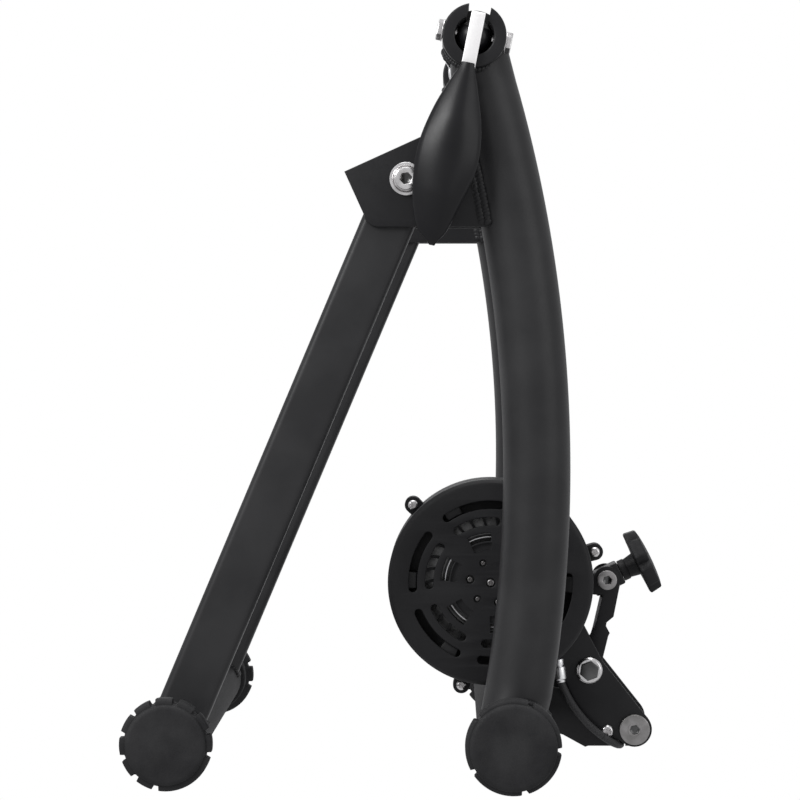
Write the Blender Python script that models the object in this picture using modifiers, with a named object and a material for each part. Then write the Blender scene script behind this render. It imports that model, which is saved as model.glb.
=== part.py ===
"""Folding bicycle trainer with a magnetic resistance unit, as an assembly of separate pieces.

Metres, +Z up. The bicycle's rear axle lies along Y, the near side is -Y, and the folding legs are at -X.
The origin is on the floor, in the middle of the trainer, midway between the front feet and the tension knob.
Inside the file, X is counted from FRAME_SHIFT to the left of that origin, and one empty moves the frame.
"""
from math import asin, atan2, cos, hypot, pi, radians, sin, sqrt

import bmesh
import bpy
from mathutils import Matrix, Vector

# Driving dimensions of the whole trainer
FRAME_SHIFT = 0.0290
CLEAR = 0.0003
REAR_X = 0.0393
FRONT_X = -0.1718
REAR_HALF = 0.255
FRONT_HALF = REAR_HALF - 0.020
SIDE_Y = REAR_HALF - 0.087
AXLE_X, AXLE_Z = 0.0160, 0.4618
HINGE_X, HINGE_Z = -0.0261, 0.3740
UNIT_X, UNIT_Z = 0.0272, 0.1186
PIVOT_X, PIVOT_Z = 0.1226, 0.0181

# Round frame tubes
TUBE_R = 0.021
TUBE_WALL = 0.002
ARCH_RADIUS = 0.856
ARCH_SET_BACK = 0.004
ARCH_TOP_DROP = 0.0105
TUBE_SIDES = 20
ARCH_STEPS = 7
SWAGE_DROP = 0.0338
SWAGE_SHARE = 0.86

# Folding legs and the brackets that carry them
LEG_W = 0.0325
LEG_T = 0.022
LEG_WALL = 0.0018
LEG_CORNER = 0.005
BRACKET_T = 0.003
BRACKET_SIDE_CLEAR = 0.0008
WEB_ANGLE = radians(24.4)
WEB_CLEAR = 0.0008
BRACKET_NOSE = 0.0330
BRACKET_DROP = 0.0298
HINGE_BOLT_R = 0.00475
HINGE_WASHER_R = 0.0103
HINGE_WASHER_T = 0.0016
HINGE_HEAD_R = 0.0071
HINGE_HEAD_H = 0.0078
HINGE_NUT_R = 0.0083
HINGE_NUT_H = 0.0080
BUSH_R = 0.0068

# Rubber foot caps
REAR_FOOT_R = 0.0292
FRONT_FOOT_R = 0.0283
FOOT_FACE_T = 0.006
FOOT_RIM_L = 0.016
FOOT_LENGTH = 0.036
FOOT_SLEEVE_T = 0.0022
FOOT_CHAMFER = 0.0022
REAR_NOTCHES = [radians(68 + 72 * i) for i in range(5)]
FRONT_NOTCHES = [radians(-13 + 30 * i) for i in range(10)]
NOTCH_W = 0.0042
NOTCH_DEPTH = 0.0028

# Hub clamps at the top of the arches
SLEEVE_R = 0.01985
SLEEVE_BORE = 0.0120
SLEEVE_OUT = SIDE_Y + 0.027
NEAR_SLEEVE_IN = 0.118
FAR_SLEEVE_IN = 0.130
PLUNGER_CLEAR = 0.0003
HUB_GAP_HALF = 0.080
NEAR_CUP_R = 0.0195
FAR_CUP_R = 0.0160
CUP_L = 0.024
CUP_WALL = 0.0045
CUP_DEPTH = 0.013
LOCK_RING_R = 0.0185
LOCK_RING_L = 0.009
FAR_KNOB_R = 0.0165
FAR_KNOB_L = 0.013
FAR_TRAVEL = 0.009

# Clamp lever
LEVER_TILT = radians(11.3)
LEVER_IN = 0.011
LEVER_BOLT_R = 0.003
LEVER_BOLT_HEAD_R = 0.0055
LEVER_BOLT_HEAD_H = 0.0036
LEVER_W = 0.0086
LEVER_T = 0.0035
LEVER_FACE = 0.0123
LEVER_ABOVE = 0.0146
LEVER_BELOW = 0.0290
LEVER_OPEN = radians(88)
CAM_REACH = 0.0105
CAM_THROW = 0.005
NOTCH_SLOT_W = 0.0136
NOTCH_SLOT_L = 0.052
GRIP_START = 0.0178
GRIP_TIP = 0.1320
GRIP_LEFT = [(0.0, 0.0040), (0.10, 0.0085), (0.27, 0.0154), (0.49, 0.0200), (0.72, 0.0182), (0.92, 0.0112),
             (1.0, 0.0020)]
GRIP_RIGHT = [(0.0, 0.0036), (0.14, 0.0087), (0.34, 0.0153), (0.55, 0.0170), (0.77, 0.0112), (0.92, 0.0064),
              (1.0, 0.0012)]
GRIP_CROWN = 0.0068
GRIP_EDGE = 0.0022
GRIP_STATIONS = 12

# Resistance unit: two yoke plates, a roller between them and the brake housing on the near side
YOKE_Y = 0.043
YOKE_T = 0.004
ROLLER_R = 0.0225
ROLLER_HALF = 0.030
SHAFT_R = 0.006
BEARING_R = 0.014
BEARING_L = 0.008
CARRIER_T = 0.004
HOUSING_R = 0.0661
HOUSING_WALL = 0.0026
HOUSING_STEPS = 36
COLLAR_R = 0.0177
HOUSING_BACK_Y = 0.0475
SPLIT_Y = 0.078
COVER_Y = 0.105
COVER_CHAMFER = 0.004
EAR_RADIUS = HOUSING_R + 0.0040
EAR_R = 0.0054
EAR_T = 0.008
EAR_ANGLES = [radians(15.5), radians(135.5), radians(254.5)]
SECTOR_START = radians(43.5)
SECTORS = 6
SLOT_ROWS = [(HOUSING_R * 0.758, 0.0053, radians(20.5)), (HOUSING_R * 0.596, 0.0053, radians(18.6))]
ARC_WINDOW = (HOUSING_R * 0.4055, HOUSING_R * 0.4857, radians(14))
SHALLOW_ROW = (HOUSING_R * 0.357, 0.0045, radians(15))
SHALLOW_DEPTH = 0.0012
CENTRE_BOSS_R = 0.0134
FLYWHEEL_R = HOUSING_R * 0.699
FLYWHEEL_T = 0.008
SILVER_RING_R = HOUSING_R * 0.487
SILVER_RING_T = 0.0015
FAN_ROOT = SILVER_RING_R + 0.0028
FAN_FINS = 30
MAGNET_R = HOUSING_R * 0.790

# Unit mounting and tension screw
PIVOT_BOLT_R = 0.005
PIVOT_HEAD_R = 0.0100
PIVOT_HEAD_T = 0.0026
PIVOT_END_R = 0.0115
PIVOT_SLEEVE_R = 0.008
PIVOT_BOSS_R = 0.0098
ARM_Y = 0.0385
ARM_T = 0.003
LINK_FOOT_X, LINK_FOOT_Z = 0.0928, 0.0570
LINK_FOOT_R = 0.0107
SWIVEL_X, SWIVEL_Z = 0.1058, 0.1146
SWIVEL_R = 0.0091
LINK_HALF = 0.017
LINK_T = 0.003
LINK_BOLT_R = 0.004
LINK_HEAD_R = 0.0087
BUMPER_R = 0.006
BUMPER_PIN_R = 0.0025
BUMPER_ANGLE = radians(50)
ROD_SLOPE = atan2(0.436, 0.900)
ROD_LENGTH = 0.045
ROD_R = 0.004
ROD_BORE = 0.0048
ROD_PAST_BLOCK = 0.0170
ANCHOR_R = 0.0075
BLOCK_HALF_L = 0.0107
BLOCK_HALF_H = 0.0075
KNOB_STEM_R = 0.0065
KNOB_HEAD_START = 0.0227
KNOB_HEAD_L = 0.0110
KNOB_R = 0.0222
KNOB_LOBES = 6
KNOB_BORE_L = 0.0300

# Shift cable: the stretch held on the unit, then the free stretch to the handlebar shifter
CABLE_R = 0.0025
CABLE_Y = -0.0512
CABLE_ARC = (0.1455, 0.0760, 0.0759)
CABLE_START = radians(202.5)
CABLE_LEAVES = radians(235)
FERRULE_R = 0.0039
FREE_ROUTE = [(0.1020, -0.0512, 0.0138), (0.1075, -0.0503, 0.0101), (0.1118, -0.0458, 0.0080),
              (0.1136, -0.0398, 0.0073), (0.1139, -0.0300, 0.0067), (0.1136, -0.0100, 0.0050),
              (0.1128, 0.0150, 0.0032), (0.1108, 0.0450, 0.0026), (0.1090, 0.0750, 0.0026),
              (0.1120, 0.1100, 0.0026), (0.1190, 0.1420, 0.0026), (0.1236, 0.1640, 0.0026),
              (0.1237, 0.1765, 0.0026), (0.1190, 0.1846, 0.0026)]
COIL_X, COIL_Y = 0.0960, 0.2120
COIL_MID_R = 0.0280
COIL_BAND = 0.0150
COIL_H = 0.0140
TAIL_ROUTE = [(0.0780, 0.1808, 0.0100), (0.0766, 0.1780, 0.0104), (0.0763, 0.1745, 0.0110),
              (0.0775, 0.1705, 0.0116), (0.0798, 0.1668, 0.0120), (0.0800, 0.1627, 0.0120)]
SHIFTER_X, SHIFTER_Y = 0.0800, 0.1400
SHIFTER_HALF_W = 0.0150
SHIFTER_HALF_L = 0.0220
SHIFTER_H = 0.0200


def clear_scene():
    for item in list(bpy.data.objects):
        bpy.data.objects.remove(item, do_unlink=True)


clear_scene()
parts = bpy.data.collections.new("bike_trainer")
cutters = bpy.data.collections.new("cutters")
bpy.context.scene.collection.children.link(parts)
bpy.context.scene.collection.children.link(cutters)


def finish(name, colour, roughness, metallic=0.0):
    """A plain Principled material in the colour of the real piece."""
    material = bpy.data.materials.new(name)
    material.use_nodes = True
    shader = material.node_tree.nodes["Principled BSDF"]
    shader.inputs["Base Color"].default_value = (*colour, 1.0)
    shader.inputs["Roughness"].default_value = roughness
    shader.inputs["Metallic"].default_value = metallic
    return material


BLACK_PAINT = finish("black_paint", (0.030, 0.030, 0.032), 0.45)
BLACK_PLASTIC = finish("black_plastic", (0.022, 0.022, 0.024), 0.6)
BLACK_RUBBER = finish("black_rubber", (0.024, 0.024, 0.026), 0.8)
ZINC = finish("zinc", (0.75, 0.75, 0.76), 0.25, 1.0)
ALUMINIUM = finish("aluminium", (0.86, 0.86, 0.87), 0.35, 1.0)
DARK_STEEL = finish("dark_steel", (0.16, 0.16, 0.17), 0.4, 1.0)

# One empty for the frame and one on each joint's axis
empties = {}


def add_empty(name, location, parent=None):
    """An empty that carries one moving body, with its origin on that body's joint axis."""
    empty = bpy.data.objects.new(name + "_axis", None)
    empty.empty_display_size = 0.02
    parts.objects.link(empty)
    empty.location = location
    if parent:
        empty.parent = empties[parent]
        empty.matrix_parent_inverse = Matrix.Translation(-Vector(empties[parent]["at"]))
    empty["at"] = location
    empties[name] = empty


def carry(piece, body):
    """Parents a piece to its body's empty and leaves it where it was modelled."""
    piece.parent = empties[body]
    piece.matrix_parent_inverse = Matrix.Translation(-Vector(empties[body]["at"]))


def add_mesh(name, mesh, material, body):
    """Puts a finished mesh in the part's collection, under its body."""
    piece = bpy.data.objects.new(name, mesh)
    mesh.materials.clear()
    mesh.materials.append(material)
    parts.objects.link(piece)
    carry(piece, body)
    return piece


def as_cutter(piece):
    """Turns an object into a hidden cutting tool, in the same frame as the pieces."""
    for collection in list(piece.users_collection):
        collection.objects.unlink(piece)
    cutters.objects.link(piece)
    if piece.parent is None:
        carry(piece, "trainer")
    piece.hide_render = True
    piece.display_type = "WIRE"
    return piece


def boolean(piece, other, operation="DIFFERENCE"):
    modifier = piece.modifiers.new(operation.lower(), "BOOLEAN")
    modifier.operation = operation
    modifier.solver = "EXACT"
    modifier.object = other


def cut(piece, *others):
    for other in others:
        boolean(piece, other)
    return piece


def join(piece, *others):
    """Welds helper solids onto a piece; the helpers stay hidden among the cutters."""
    for other in others:
        boolean(piece, as_cutter(other), "UNION")
    return piece


def shade(mesh, angle=radians(35)):
    mesh.shade_smooth()
    mesh.set_sharp_from_angle(angle=angle)


def mesh_of_curve(curve_object, name):
    """The curve as a closed mesh with welded caps; the curve itself is removed."""
    graph = bpy.context.evaluated_depsgraph_get()
    graph.update()
    mesh = bpy.data.meshes.new_from_object(curve_object.evaluated_get(graph))
    mesh.name = name
    mesh.transform(curve_object.matrix_world)
    shape = bmesh.new()
    shape.from_mesh(mesh)
    bmesh.ops.remove_doubles(shape, verts=shape.verts, dist=0.00001)
    bmesh.ops.recalc_face_normals(shape, faces=shape.faces)
    shape.to_mesh(mesh)
    shape.free()
    bpy.data.objects.remove(curve_object, do_unlink=True)
    shade(mesh)
    return mesh


def outline_mesh(name, outlines, low, high):
    """A flat outline with holes, drawn in XZ and given its thickness along Y from low to high."""
    curve = bpy.data.curves.new(name, "CURVE")
    curve.dimensions = "2D"
    curve.fill_mode = "BOTH"
    curve.extrude = abs(high - low) / 2
    for outline in outlines:
        spline = curve.splines.new("POLY")
        spline.points.add(len(outline) - 1)
        for point, (x, z) in zip(spline.points, outline):
            point.co = (x, z, 0, 1)
        spline.use_cyclic_u = True
    item = bpy.data.objects.new(name, curve)
    cutters.objects.link(item)
    item.rotation_euler = (pi / 2, 0, 0)
    item.location = (0, (low + high) / 2, 0)
    bpy.context.view_layer.update()
    return mesh_of_curve(item, name)


def plate(name, outlines, low, high, material, body):
    return add_mesh(name, outline_mesh(name, outlines, low, high), material, body)


def plate_cutter(name, outlines, low, high):
    piece = bpy.data.objects.new(name, outline_mesh(name, outlines, low, high))
    parts.objects.link(piece)
    return as_cutter(piece)


def turned(name, profile, x, z, material, body, steps=32, along=None):
    """Turns a closed (radius, y) outline about an axis along Y, or along a given direction."""
    mesh = bpy.data.meshes.new(name)
    points = [(radius, 0.0, height) for radius, height in profile]
    edges = [(i, i + 1) for i in range(len(points) - 1)]
    if profile[0][0] > 0 or profile[-1][0] > 0:
        edges.append((len(points) - 1, 0))
    mesh.from_pydata(points, edges, [])
    piece = add_mesh(name, mesh, material, body)
    if along is None:
        piece.rotation_euler = (-pi / 2, 0, 0)
        piece.location = (x, 0, z)
    else:
        start, direction = along
        piece.rotation_euler = Vector(direction).to_track_quat("Z", "Y").to_euler()
        piece.location = start
    screw = piece.modifiers.new("turn", "SCREW")
    screw.steps = steps
    screw.render_steps = steps
    screw.use_merge_vertices = True
    screw.merge_threshold = 0.00001
    screw.use_smooth_shade = False
    return piece


def ring(name, outer, inner, low, high, x, z, material, body, steps=32, along=None):
    """A plain bush or tube, or a disc where inner is 0."""
    if inner > 0:
        profile = [(outer, high), (outer, low), (inner, low), (inner, high)]
    else:
        profile = [(0, high), (outer, high), (outer, low), (0, low)]
    return turned(name, profile, x, z, material, body, steps, along)


def hole_cutter(name, radius, low, high, x, z, steps=24, along=None):
    return as_cutter(ring(name, radius, 0, low, high, x, z, DARK_STEEL, "trainer", steps, along))


def box_cutter(name, size, matrix):
    mesh = bpy.data.meshes.new(name)
    shape = bmesh.new()
    bmesh.ops.create_cube(shape, size=1.0, matrix=matrix @ Matrix.Diagonal((*size, 1.0)))
    shape.to_mesh(mesh)
    shape.free()
    piece = bpy.data.objects.new(name, mesh)
    parts.objects.link(piece)
    return as_cutter(piece)


def arc(x, z, radius, start, end, count):
    """Points along an arc, with angles counted from +X towards +Z."""
    return [(x + radius * cos(start + (end - start) * i / count), z + radius
             * sin(start + (end - start) * i / count)) for i in range(count + 1)]


def circle(x, z, radius, count=24):
    return arc(x, z, radius, 0, 2 * pi, count)[:-1]


def smooth_path(route, spacing):
    """Points at an even spacing along a smooth curve through the route's own points."""
    dense = []
    for i in range(len(route) - 1):
        before = Vector(route[max(i - 1, 0)])
        here = Vector(route[i])
        there = Vector(route[i + 1])
        after = Vector(route[min(i + 2, len(route) - 1)])
        for step in range(12):
            t = step / 12
            dense.append(0.5 * (2 * here + (there - before) * t
                                + (2 * before - 5 * here + 4 * there - after) * t ** 2
                                + (3 * here - before - 3 * there + after) * t ** 3))
    dense.append(Vector(route[-1]))
    total = sum((b - a).length for a, b in zip(dense, dense[1:]))
    count = max(2, round(total / spacing))
    points, walked, target = [dense[0]], 0.0, total / count
    for a, b in zip(dense, dense[1:]):
        length = (b - a).length
        while walked + length >= target - 1e-9 and len(points) < count:
            points.append(a.lerp(b, (target - walked) / length))
            target += total / count
        walked += length
    return points + [dense[-1]]


def tube_along(name, points, radius, material, body, resolution=2):
    """A solid round cord or bar along a line of points."""
    curve = bpy.data.curves.new(name, "CURVE")
    curve.dimensions = "3D"
    curve.bevel_depth = radius
    curve.bevel_resolution = resolution
    curve.use_fill_caps = True
    spline = curve.splines.new("POLY")
    spline.points.add(len(points) - 1)
    for point, place in zip(spline.points, points):
        point.co = (*place, 1)
    item = bpy.data.objects.new(name, curve)
    cutters.objects.link(item)
    bpy.context.view_layer.update()
    return add_mesh(name, mesh_of_curve(item, name), material, body)


def bridged_mesh(name, sections):
    """A closed loft through sections with the same number of points."""
    shape = bmesh.new()
    rings = [[shape.verts.new(point) for point in section] for section in sections]
    for first, second in zip(rings, rings[1:]):
        for i in range(len(first)):
            j = (i + 1) % len(first)
            shape.faces.new((first[i], first[j], second[j], second[i]))
    shape.faces.new(rings[0])
    shape.faces.new(rings[-1])
    bmesh.ops.recalc_face_normals(shape, faces=shape.faces)
    mesh = bpy.data.meshes.new(name)
    shape.to_mesh(mesh)
    shape.free()
    shade(mesh)
    return mesh


def between(table, t):
    """A smooth value from a short (position, value) table."""
    for (t0, v0), (t1, v1) in zip(table, table[1:]):
        if t <= t1:
            share = (t - t0) / (t1 - t0)
            return v0 + (v1 - v0) * share * share * (3 - 2 * share)
    return table[-1][1]


# Places that several pieces share
REAR_Z = REAR_FOOT_R
FRONT_Z = FRONT_FOOT_R
LEG_ANGLE = atan2(HINGE_X - FRONT_X, HINGE_Z - FRONT_Z)
LEG_LENGTH = hypot(HINGE_X - FRONT_X, HINGE_Z - FRONT_Z)
ARCH_TOP_X = AXLE_X - ARCH_SET_BACK
BRACKET_INNER = LEG_T / 2 + BRACKET_SIDE_CLEAR
BRACKET_OUTER = BRACKET_INNER + BRACKET_T
LEVER_Y = -(SLEEVE_OUT - LEVER_IN)
LEVER_DOWN = Vector((-sin(LEVER_TILT), 0, -cos(LEVER_TILT)))
LEVER_AXIS = Vector((cos(LEVER_TILT), 0, -sin(LEVER_TILT)))
ROD_DIR = Vector((cos(ROD_SLOPE), 0, sin(ROD_SLOPE)))
SWIVEL = Vector((SWIVEL_X, 0, SWIVEL_Z))
ANCHOR = SWIVEL - ROD_LENGTH * ROD_DIR
BUMPER_REACH = TUBE_R + BUMPER_R + CLEAR
BUMPER_X = REAR_X + BUMPER_REACH * cos(BUMPER_ANGLE)
BUMPER_Z = REAR_Z + BUMPER_REACH * sin(BUMPER_ANGLE)
PLUNGER_END = LEVER_Y + CAM_REACH + CLEAR

add_empty("trainer", (0, 0, 0))
empties["trainer"].location = (FRAME_SHIFT, 0, 0)
add_empty("leg_frame", (HINGE_X, 0, HINGE_Z), "trainer")
add_empty("clamp_lever", (AXLE_X, LEVER_Y, AXLE_Z), "trainer")
add_empty("clamp_plunger", (AXLE_X, -SIDE_Y, AXLE_Z), "trainer")
add_empty("far_screw", (AXLE_X, SIDE_Y, AXLE_Z), "trainer")
add_empty("far_knob", (AXLE_X, SLEEVE_OUT, AXLE_Z), "far_screw")
add_empty("resistance_unit", (PIVOT_X, 0, PIVOT_Z), "trainer")
add_empty("rotor", (UNIT_X, 0, UNIT_Z), "resistance_unit")
add_empty("magnets", (UNIT_X, -SPLIT_Y, UNIT_Z), "resistance_unit")
add_empty("tension_link", (LINK_FOOT_X, 0, LINK_FOOT_Z), "resistance_unit")
add_empty("swivel_block", (SWIVEL_X, 0, SWIVEL_Z), "tension_link")
add_empty("tension_knob", (SWIVEL_X, 0, SWIVEL_Z), "swivel_block")
add_empty("tension_rod", tuple(ANCHOR), "resistance_unit")
add_empty("shift_lever", (SHIFTER_X, SHIFTER_Y, SHIFTER_H), "trainer")


def arch_centre():
    """Centre of the arc that runs from the rear tube's axis up to the hub clamp, bowed to the rear."""
    low = Vector((REAR_X, REAR_Z))
    high = Vector((ARCH_TOP_X, AXLE_Z))
    chord = high - low
    ahead = Vector((-chord.y, chord.x)).normalized()
    return (low + high) / 2 + ahead * sqrt(ARCH_RADIUS ** 2 - (chord.length / 2) ** 2)


def arch_points():
    """The arch's centre line, with one last short step where the tube is swaged narrower under the sleeve."""
    centre = arch_centre()
    start = atan2(REAR_Z - centre.y, REAR_X - centre.x)
    swage = asin((AXLE_Z - SWAGE_DROP - centre.y) / ARCH_RADIUS)
    end = asin((AXLE_Z - ARCH_TOP_DROP - centre.y) / ARCH_RADIUS)
    return arc(centre.x, centre.y, ARCH_RADIUS, start, swage, ARCH_STEPS) + [
        (centre.x + ARCH_RADIUS * cos(end), centre.y + ARCH_RADIUS * sin(end))]


def arch_x(z):
    """Where the arch's centre line stands at a height."""
    centre = arch_centre()
    return centre.x + sqrt(ARCH_RADIUS ** 2 - (z - centre.y) ** 2)


def arch_tube(name, side, radius, sides=TUBE_SIDES):
    """A bar bent along the arch, at one side of the trainer."""
    points = [(x, side * SIDE_Y, z) for x, z in arch_points()]
    sections = []
    for i, (x, y, z) in enumerate(points):
        before, after = points[max(i - 1, 0)], points[min(i + 1, len(points) - 1)]
        slope = atan2(after[2] - before[2], after[0] - before[0])
        share = SWAGE_SHARE if i == len(points) - 1 else 1.0
        section = []
        for k in range(sides):
            around = 2 * pi * k / sides
            reach = radius * (1 - share + share * cos(around))
            section.append((x + reach * sin(slope), y + radius * sin(around), z - reach * cos(slope)))
        sections.append(section)
    return bridged_mesh(name, sections)


def rear_base():
    """Rear cross tube, with its ends in the foot caps."""
    ring("rear_base_tube", TUBE_R, TUBE_R - TUBE_WALL, -REAR_HALF + FOOT_FACE_T + CLEAR,
         REAR_HALF - FOOT_FACE_T - CLEAR, REAR_X, REAR_Z, BLACK_PAINT, "trainer", TUBE_SIDES)


def arches():
    """Two bent tubes, fish-mouthed onto the rear tube and under the clamp sleeves."""
    rear = hole_cutter("rear_tube_room", TUBE_R + CLEAR, -REAR_HALF, REAR_HALF, REAR_X, REAR_Z, TUBE_SIDES)
    sleeve = hole_cutter("sleeve_room", SLEEVE_R + CLEAR, -REAR_HALF, REAR_HALF, AXLE_X, AXLE_Z, TUBE_SIDES)
    for name, side in (("near_arch_tube", -1), ("far_arch_tube", 1)):
        tube = add_mesh(name, arch_tube(name, side, TUBE_R), BLACK_PAINT, "trainer")
        bore = bpy.data.objects.new(name + "_bore", arch_tube(name + "_bore", side, TUBE_R - TUBE_WALL))
        parts.objects.link(bore)
        stretch = Matrix.Translation((0, 0, -0.0005))
        bore.data.transform(stretch)
        cut(tube, as_cutter(bore), rear, sleeve)


def foot_profile(radius):
    """Outline of a foot cap from its outer face inwards: rim, step and the sleeve over the tube."""
    sleeve = TUBE_R + CLEAR + FOOT_SLEEVE_T
    return [(0, 0), (radius - FOOT_CHAMFER, 0), (radius, -FOOT_CHAMFER), (radius, -FOOT_RIM_L),
            (sleeve, -FOOT_RIM_L - 0.002), (sleeve, -FOOT_LENGTH), (TUBE_R + CLEAR, -FOOT_LENGTH),
            (TUBE_R + CLEAR, -FOOT_FACE_T), (0, -FOOT_FACE_T)]


def foot(name, x, radius, half, side, notches, body):
    """A rubber cap pressed over the end of a base tube, with grip notches round its rim."""
    profile = [(r, half + h) for r, h in foot_profile(radius)]
    if side < 0:
        profile = [(r, -h) for r, h in reversed(profile)]
    cap = turned(name, profile, x, radius, BLACK_RUBBER, body, 32)
    shape = bmesh.new()
    for angle in notches:
        place = Matrix.Translation((x, side * half, radius)) @ Matrix.Rotation(-angle, 4, "Y")
        place = place @ Matrix.Translation((radius, 0, 0))
        size = (2 * NOTCH_DEPTH, 2 * FOOT_RIM_L + 0.006, NOTCH_W, 1.0)
        bmesh.ops.create_cube(shape, size=1.0, matrix=place @ Matrix.Diagonal(size))
    mesh = bpy.data.meshes.new(name + "_notches")
    shape.to_mesh(mesh)
    shape.free()
    notch_set = bpy.data.objects.new(name + "_notches", mesh)
    parts.objects.link(notch_set)
    cut(cap, as_cutter(notch_set))


def feet():
    for name, side in (("near", -1), ("far", 1)):
        foot(name + "_rear_foot", REAR_X, REAR_FOOT_R, REAR_HALF, side, REAR_NOTCHES, "trainer")
        foot(name + "_front_foot", FRONT_X, FRONT_FOOT_R, FRONT_HALF, side, FRONT_NOTCHES, "leg_frame")


def bracket_outline():
    """Side view of the folded leg bracket, round the hinge: nose, web along the top, level bottom edge."""
    along = Vector((cos(WEB_ANGLE), sin(WEB_ANGLE)))
    up = Vector((-sin(WEB_ANGLE), cos(WEB_ANGLE)))
    hinge = Vector((HINGE_X, HINGE_Z))
    top = LEG_W / 2 + WEB_CLEAR + BRACKET_T
    nose_top = hinge - along * BRACKET_NOSE + up * top
    nose_low = hinge - along * BRACKET_NOSE - up * 0.0100
    low = HINGE_Z - BRACKET_DROP
    tail_low = arch_x(low)
    tail_top = hinge + up * top
    for step in range(20):
        tail_top += along * (arch_x(tail_top.y) - tail_top.x) / along.x
    corner = arc(HINGE_X - 0.0170, low + 0.0100, 0.0100, pi * 1.17, pi * 1.5, 4)
    return [tuple(nose_top), tuple(nose_low)] + corner + [(tail_low, low), tuple(tail_top)]


def pocket_outline():
    """The room for the leg inside the bracket: everything under the web."""
    along = Vector((cos(WEB_ANGLE), sin(WEB_ANGLE)))
    up = Vector((-sin(WEB_ANGLE), cos(WEB_ANGLE)))
    hinge = Vector((HINGE_X, HINGE_Z))
    top = LEG_W / 2 + WEB_CLEAR
    return [tuple(hinge - along * 0.060 + up * top), tuple(hinge - along * 0.060 - up * 0.070),
            tuple(hinge + along * 0.090 - up * 0.070), tuple(hinge + along * 0.090 + up * top)]


def leg_brackets():
    """U-shaped plates, open below, welded to the arches; the web stops the leg when it is opened out."""
    for name, side in (("near", -1), ("far", 1)):
        middle = side * SIDE_Y
        bracket = plate(name + "_leg_bracket", [bracket_outline()], middle - BRACKET_OUTER, middle
                        + BRACKET_OUTER, BLACK_PAINT, "trainer")
        pocket = plate_cutter(name + "_pocket", [pocket_outline()], middle - BRACKET_INNER, middle
                              + BRACKET_INNER)
        hole = hole_cutter(name + "_hinge_hole", HINGE_BOLT_R + CLEAR, middle - 0.03, middle + 0.03,
                           HINGE_X, HINGE_Z)
        room = bpy.data.objects.new(name + "_arch_room", arch_tube(name + "_arch_room", side, TUBE_R
                                                                   + CLEAR))
        parts.objects.link(room)
        cut(bracket, pocket, hole, as_cutter(room))


def hinge_bolts():
    """Socket head bolts through the leg brackets, each with its washer outside and its lock nut inside."""
    for name, side in (("near_hinge_bolt", -1), ("far_hinge_bolt", 1)):
        face = side * (SIDE_Y + BRACKET_OUTER + CLEAR)
        head = face + side * HINGE_WASHER_T
        top = head + side * HINGE_HEAD_H
        nut_in = side * (SIDE_Y - BRACKET_OUTER - CLEAR)
        nut_out = nut_in - side * HINGE_NUT_H
        tip = nut_out - side * 0.002
        socket = top - side * 0.004
        profile = [(0, socket), (0.0035, socket), (0.0035, top), (HINGE_HEAD_R - 0.0008, top),
                   (HINGE_HEAD_R, top - side * 0.0008), (HINGE_HEAD_R, head), (HINGE_WASHER_R, head),
                   (HINGE_WASHER_R, face), (HINGE_BOLT_R, face), (HINGE_BOLT_R, nut_in),
                   (HINGE_NUT_R, nut_in), (HINGE_NUT_R, nut_out), (HINGE_BOLT_R, nut_out),
                   (HINGE_BOLT_R, tip), (0, tip)]
        if side < 0:
            profile.reverse()
        turned(name, profile, HINGE_X, HINGE_Z, ZINC, "trainer", 14)


def rounded_box_outline(width, height, radius, count=4):
    outline = []
    for turn, (sx, sy) in enumerate(((1, 1), (-1, 1), (-1, -1), (1, -1))):
        outline += arc(sx * (width / 2 - radius), sy * (height / 2 - radius), radius, turn * pi / 2,
                       (turn + 1) * pi / 2, count)
    return outline


def legs():
    """Two flat-sided leg tubes with round heads on the hinge and coped feet on the front tube."""
    front = hole_cutter("front_tube_room", TUBE_R + CLEAR, -FRONT_HALF, FRONT_HALF, FRONT_X, FRONT_Z,
                        TUBE_SIDES)
    outer = rounded_box_outline(LEG_W, LEG_T, LEG_CORNER)
    inner = rounded_box_outline(LEG_W - 2 * LEG_WALL, LEG_T - 2 * LEG_WALL, LEG_CORNER - LEG_WALL)
    length = LEG_LENGTH + LEG_W / 2 + 0.001
    for name, side in (("near_leg", -1), ("far_leg", 1)):
        mesh = outline_mesh(name, [outer, inner], 0, length)
        at_hinge = Matrix.Translation((HINGE_X, side * SIDE_Y, HINGE_Z)) @ Matrix.Rotation(LEG_ANGLE, 4, "Y")
        from_foot = Matrix.Translation((0, 0, -LEG_LENGTH)) @ Matrix.Rotation(pi / 2, 4, "X")
        mesh.transform(at_hinge @ from_foot)
        leg = add_mesh(name, mesh, BLACK_PAINT, "leg_frame")
        middle = side * SIDE_Y
        head = LEG_W / 2
        span = 0.03
        scoop = ([(-span, 0), (-head, 0)] + arc(0, 0, head, pi, 0, 12)[1:-1]
                 + [(head, 0), (span, 0), (span, span), (-span, span)])
        turn = Matrix.Rotation(LEG_ANGLE, 4, "Y")
        turned_points = [turn @ Vector((x, 0, z)) for x, z in scoop]
        scoop = [(HINGE_X + point.x, HINGE_Z + point.z) for point in turned_points]
        rounder = plate_cutter(name + "_round_end", [scoop], middle - 0.02, middle + 0.02)
        hole = hole_cutter(name + "_hole", BUSH_R + CLEAR, middle - 0.02, middle + 0.02, HINGE_X, HINGE_Z)
        cut(leg, rounder, hole, front)


def front_base():
    ring("front_base_tube", TUBE_R, TUBE_R - TUBE_WALL, -FRONT_HALF + FOOT_FACE_T + CLEAR,
         FRONT_HALF - FOOT_FACE_T - CLEAR, FRONT_X, FRONT_Z, BLACK_PAINT, "leg_frame", TUBE_SIDES)


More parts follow.
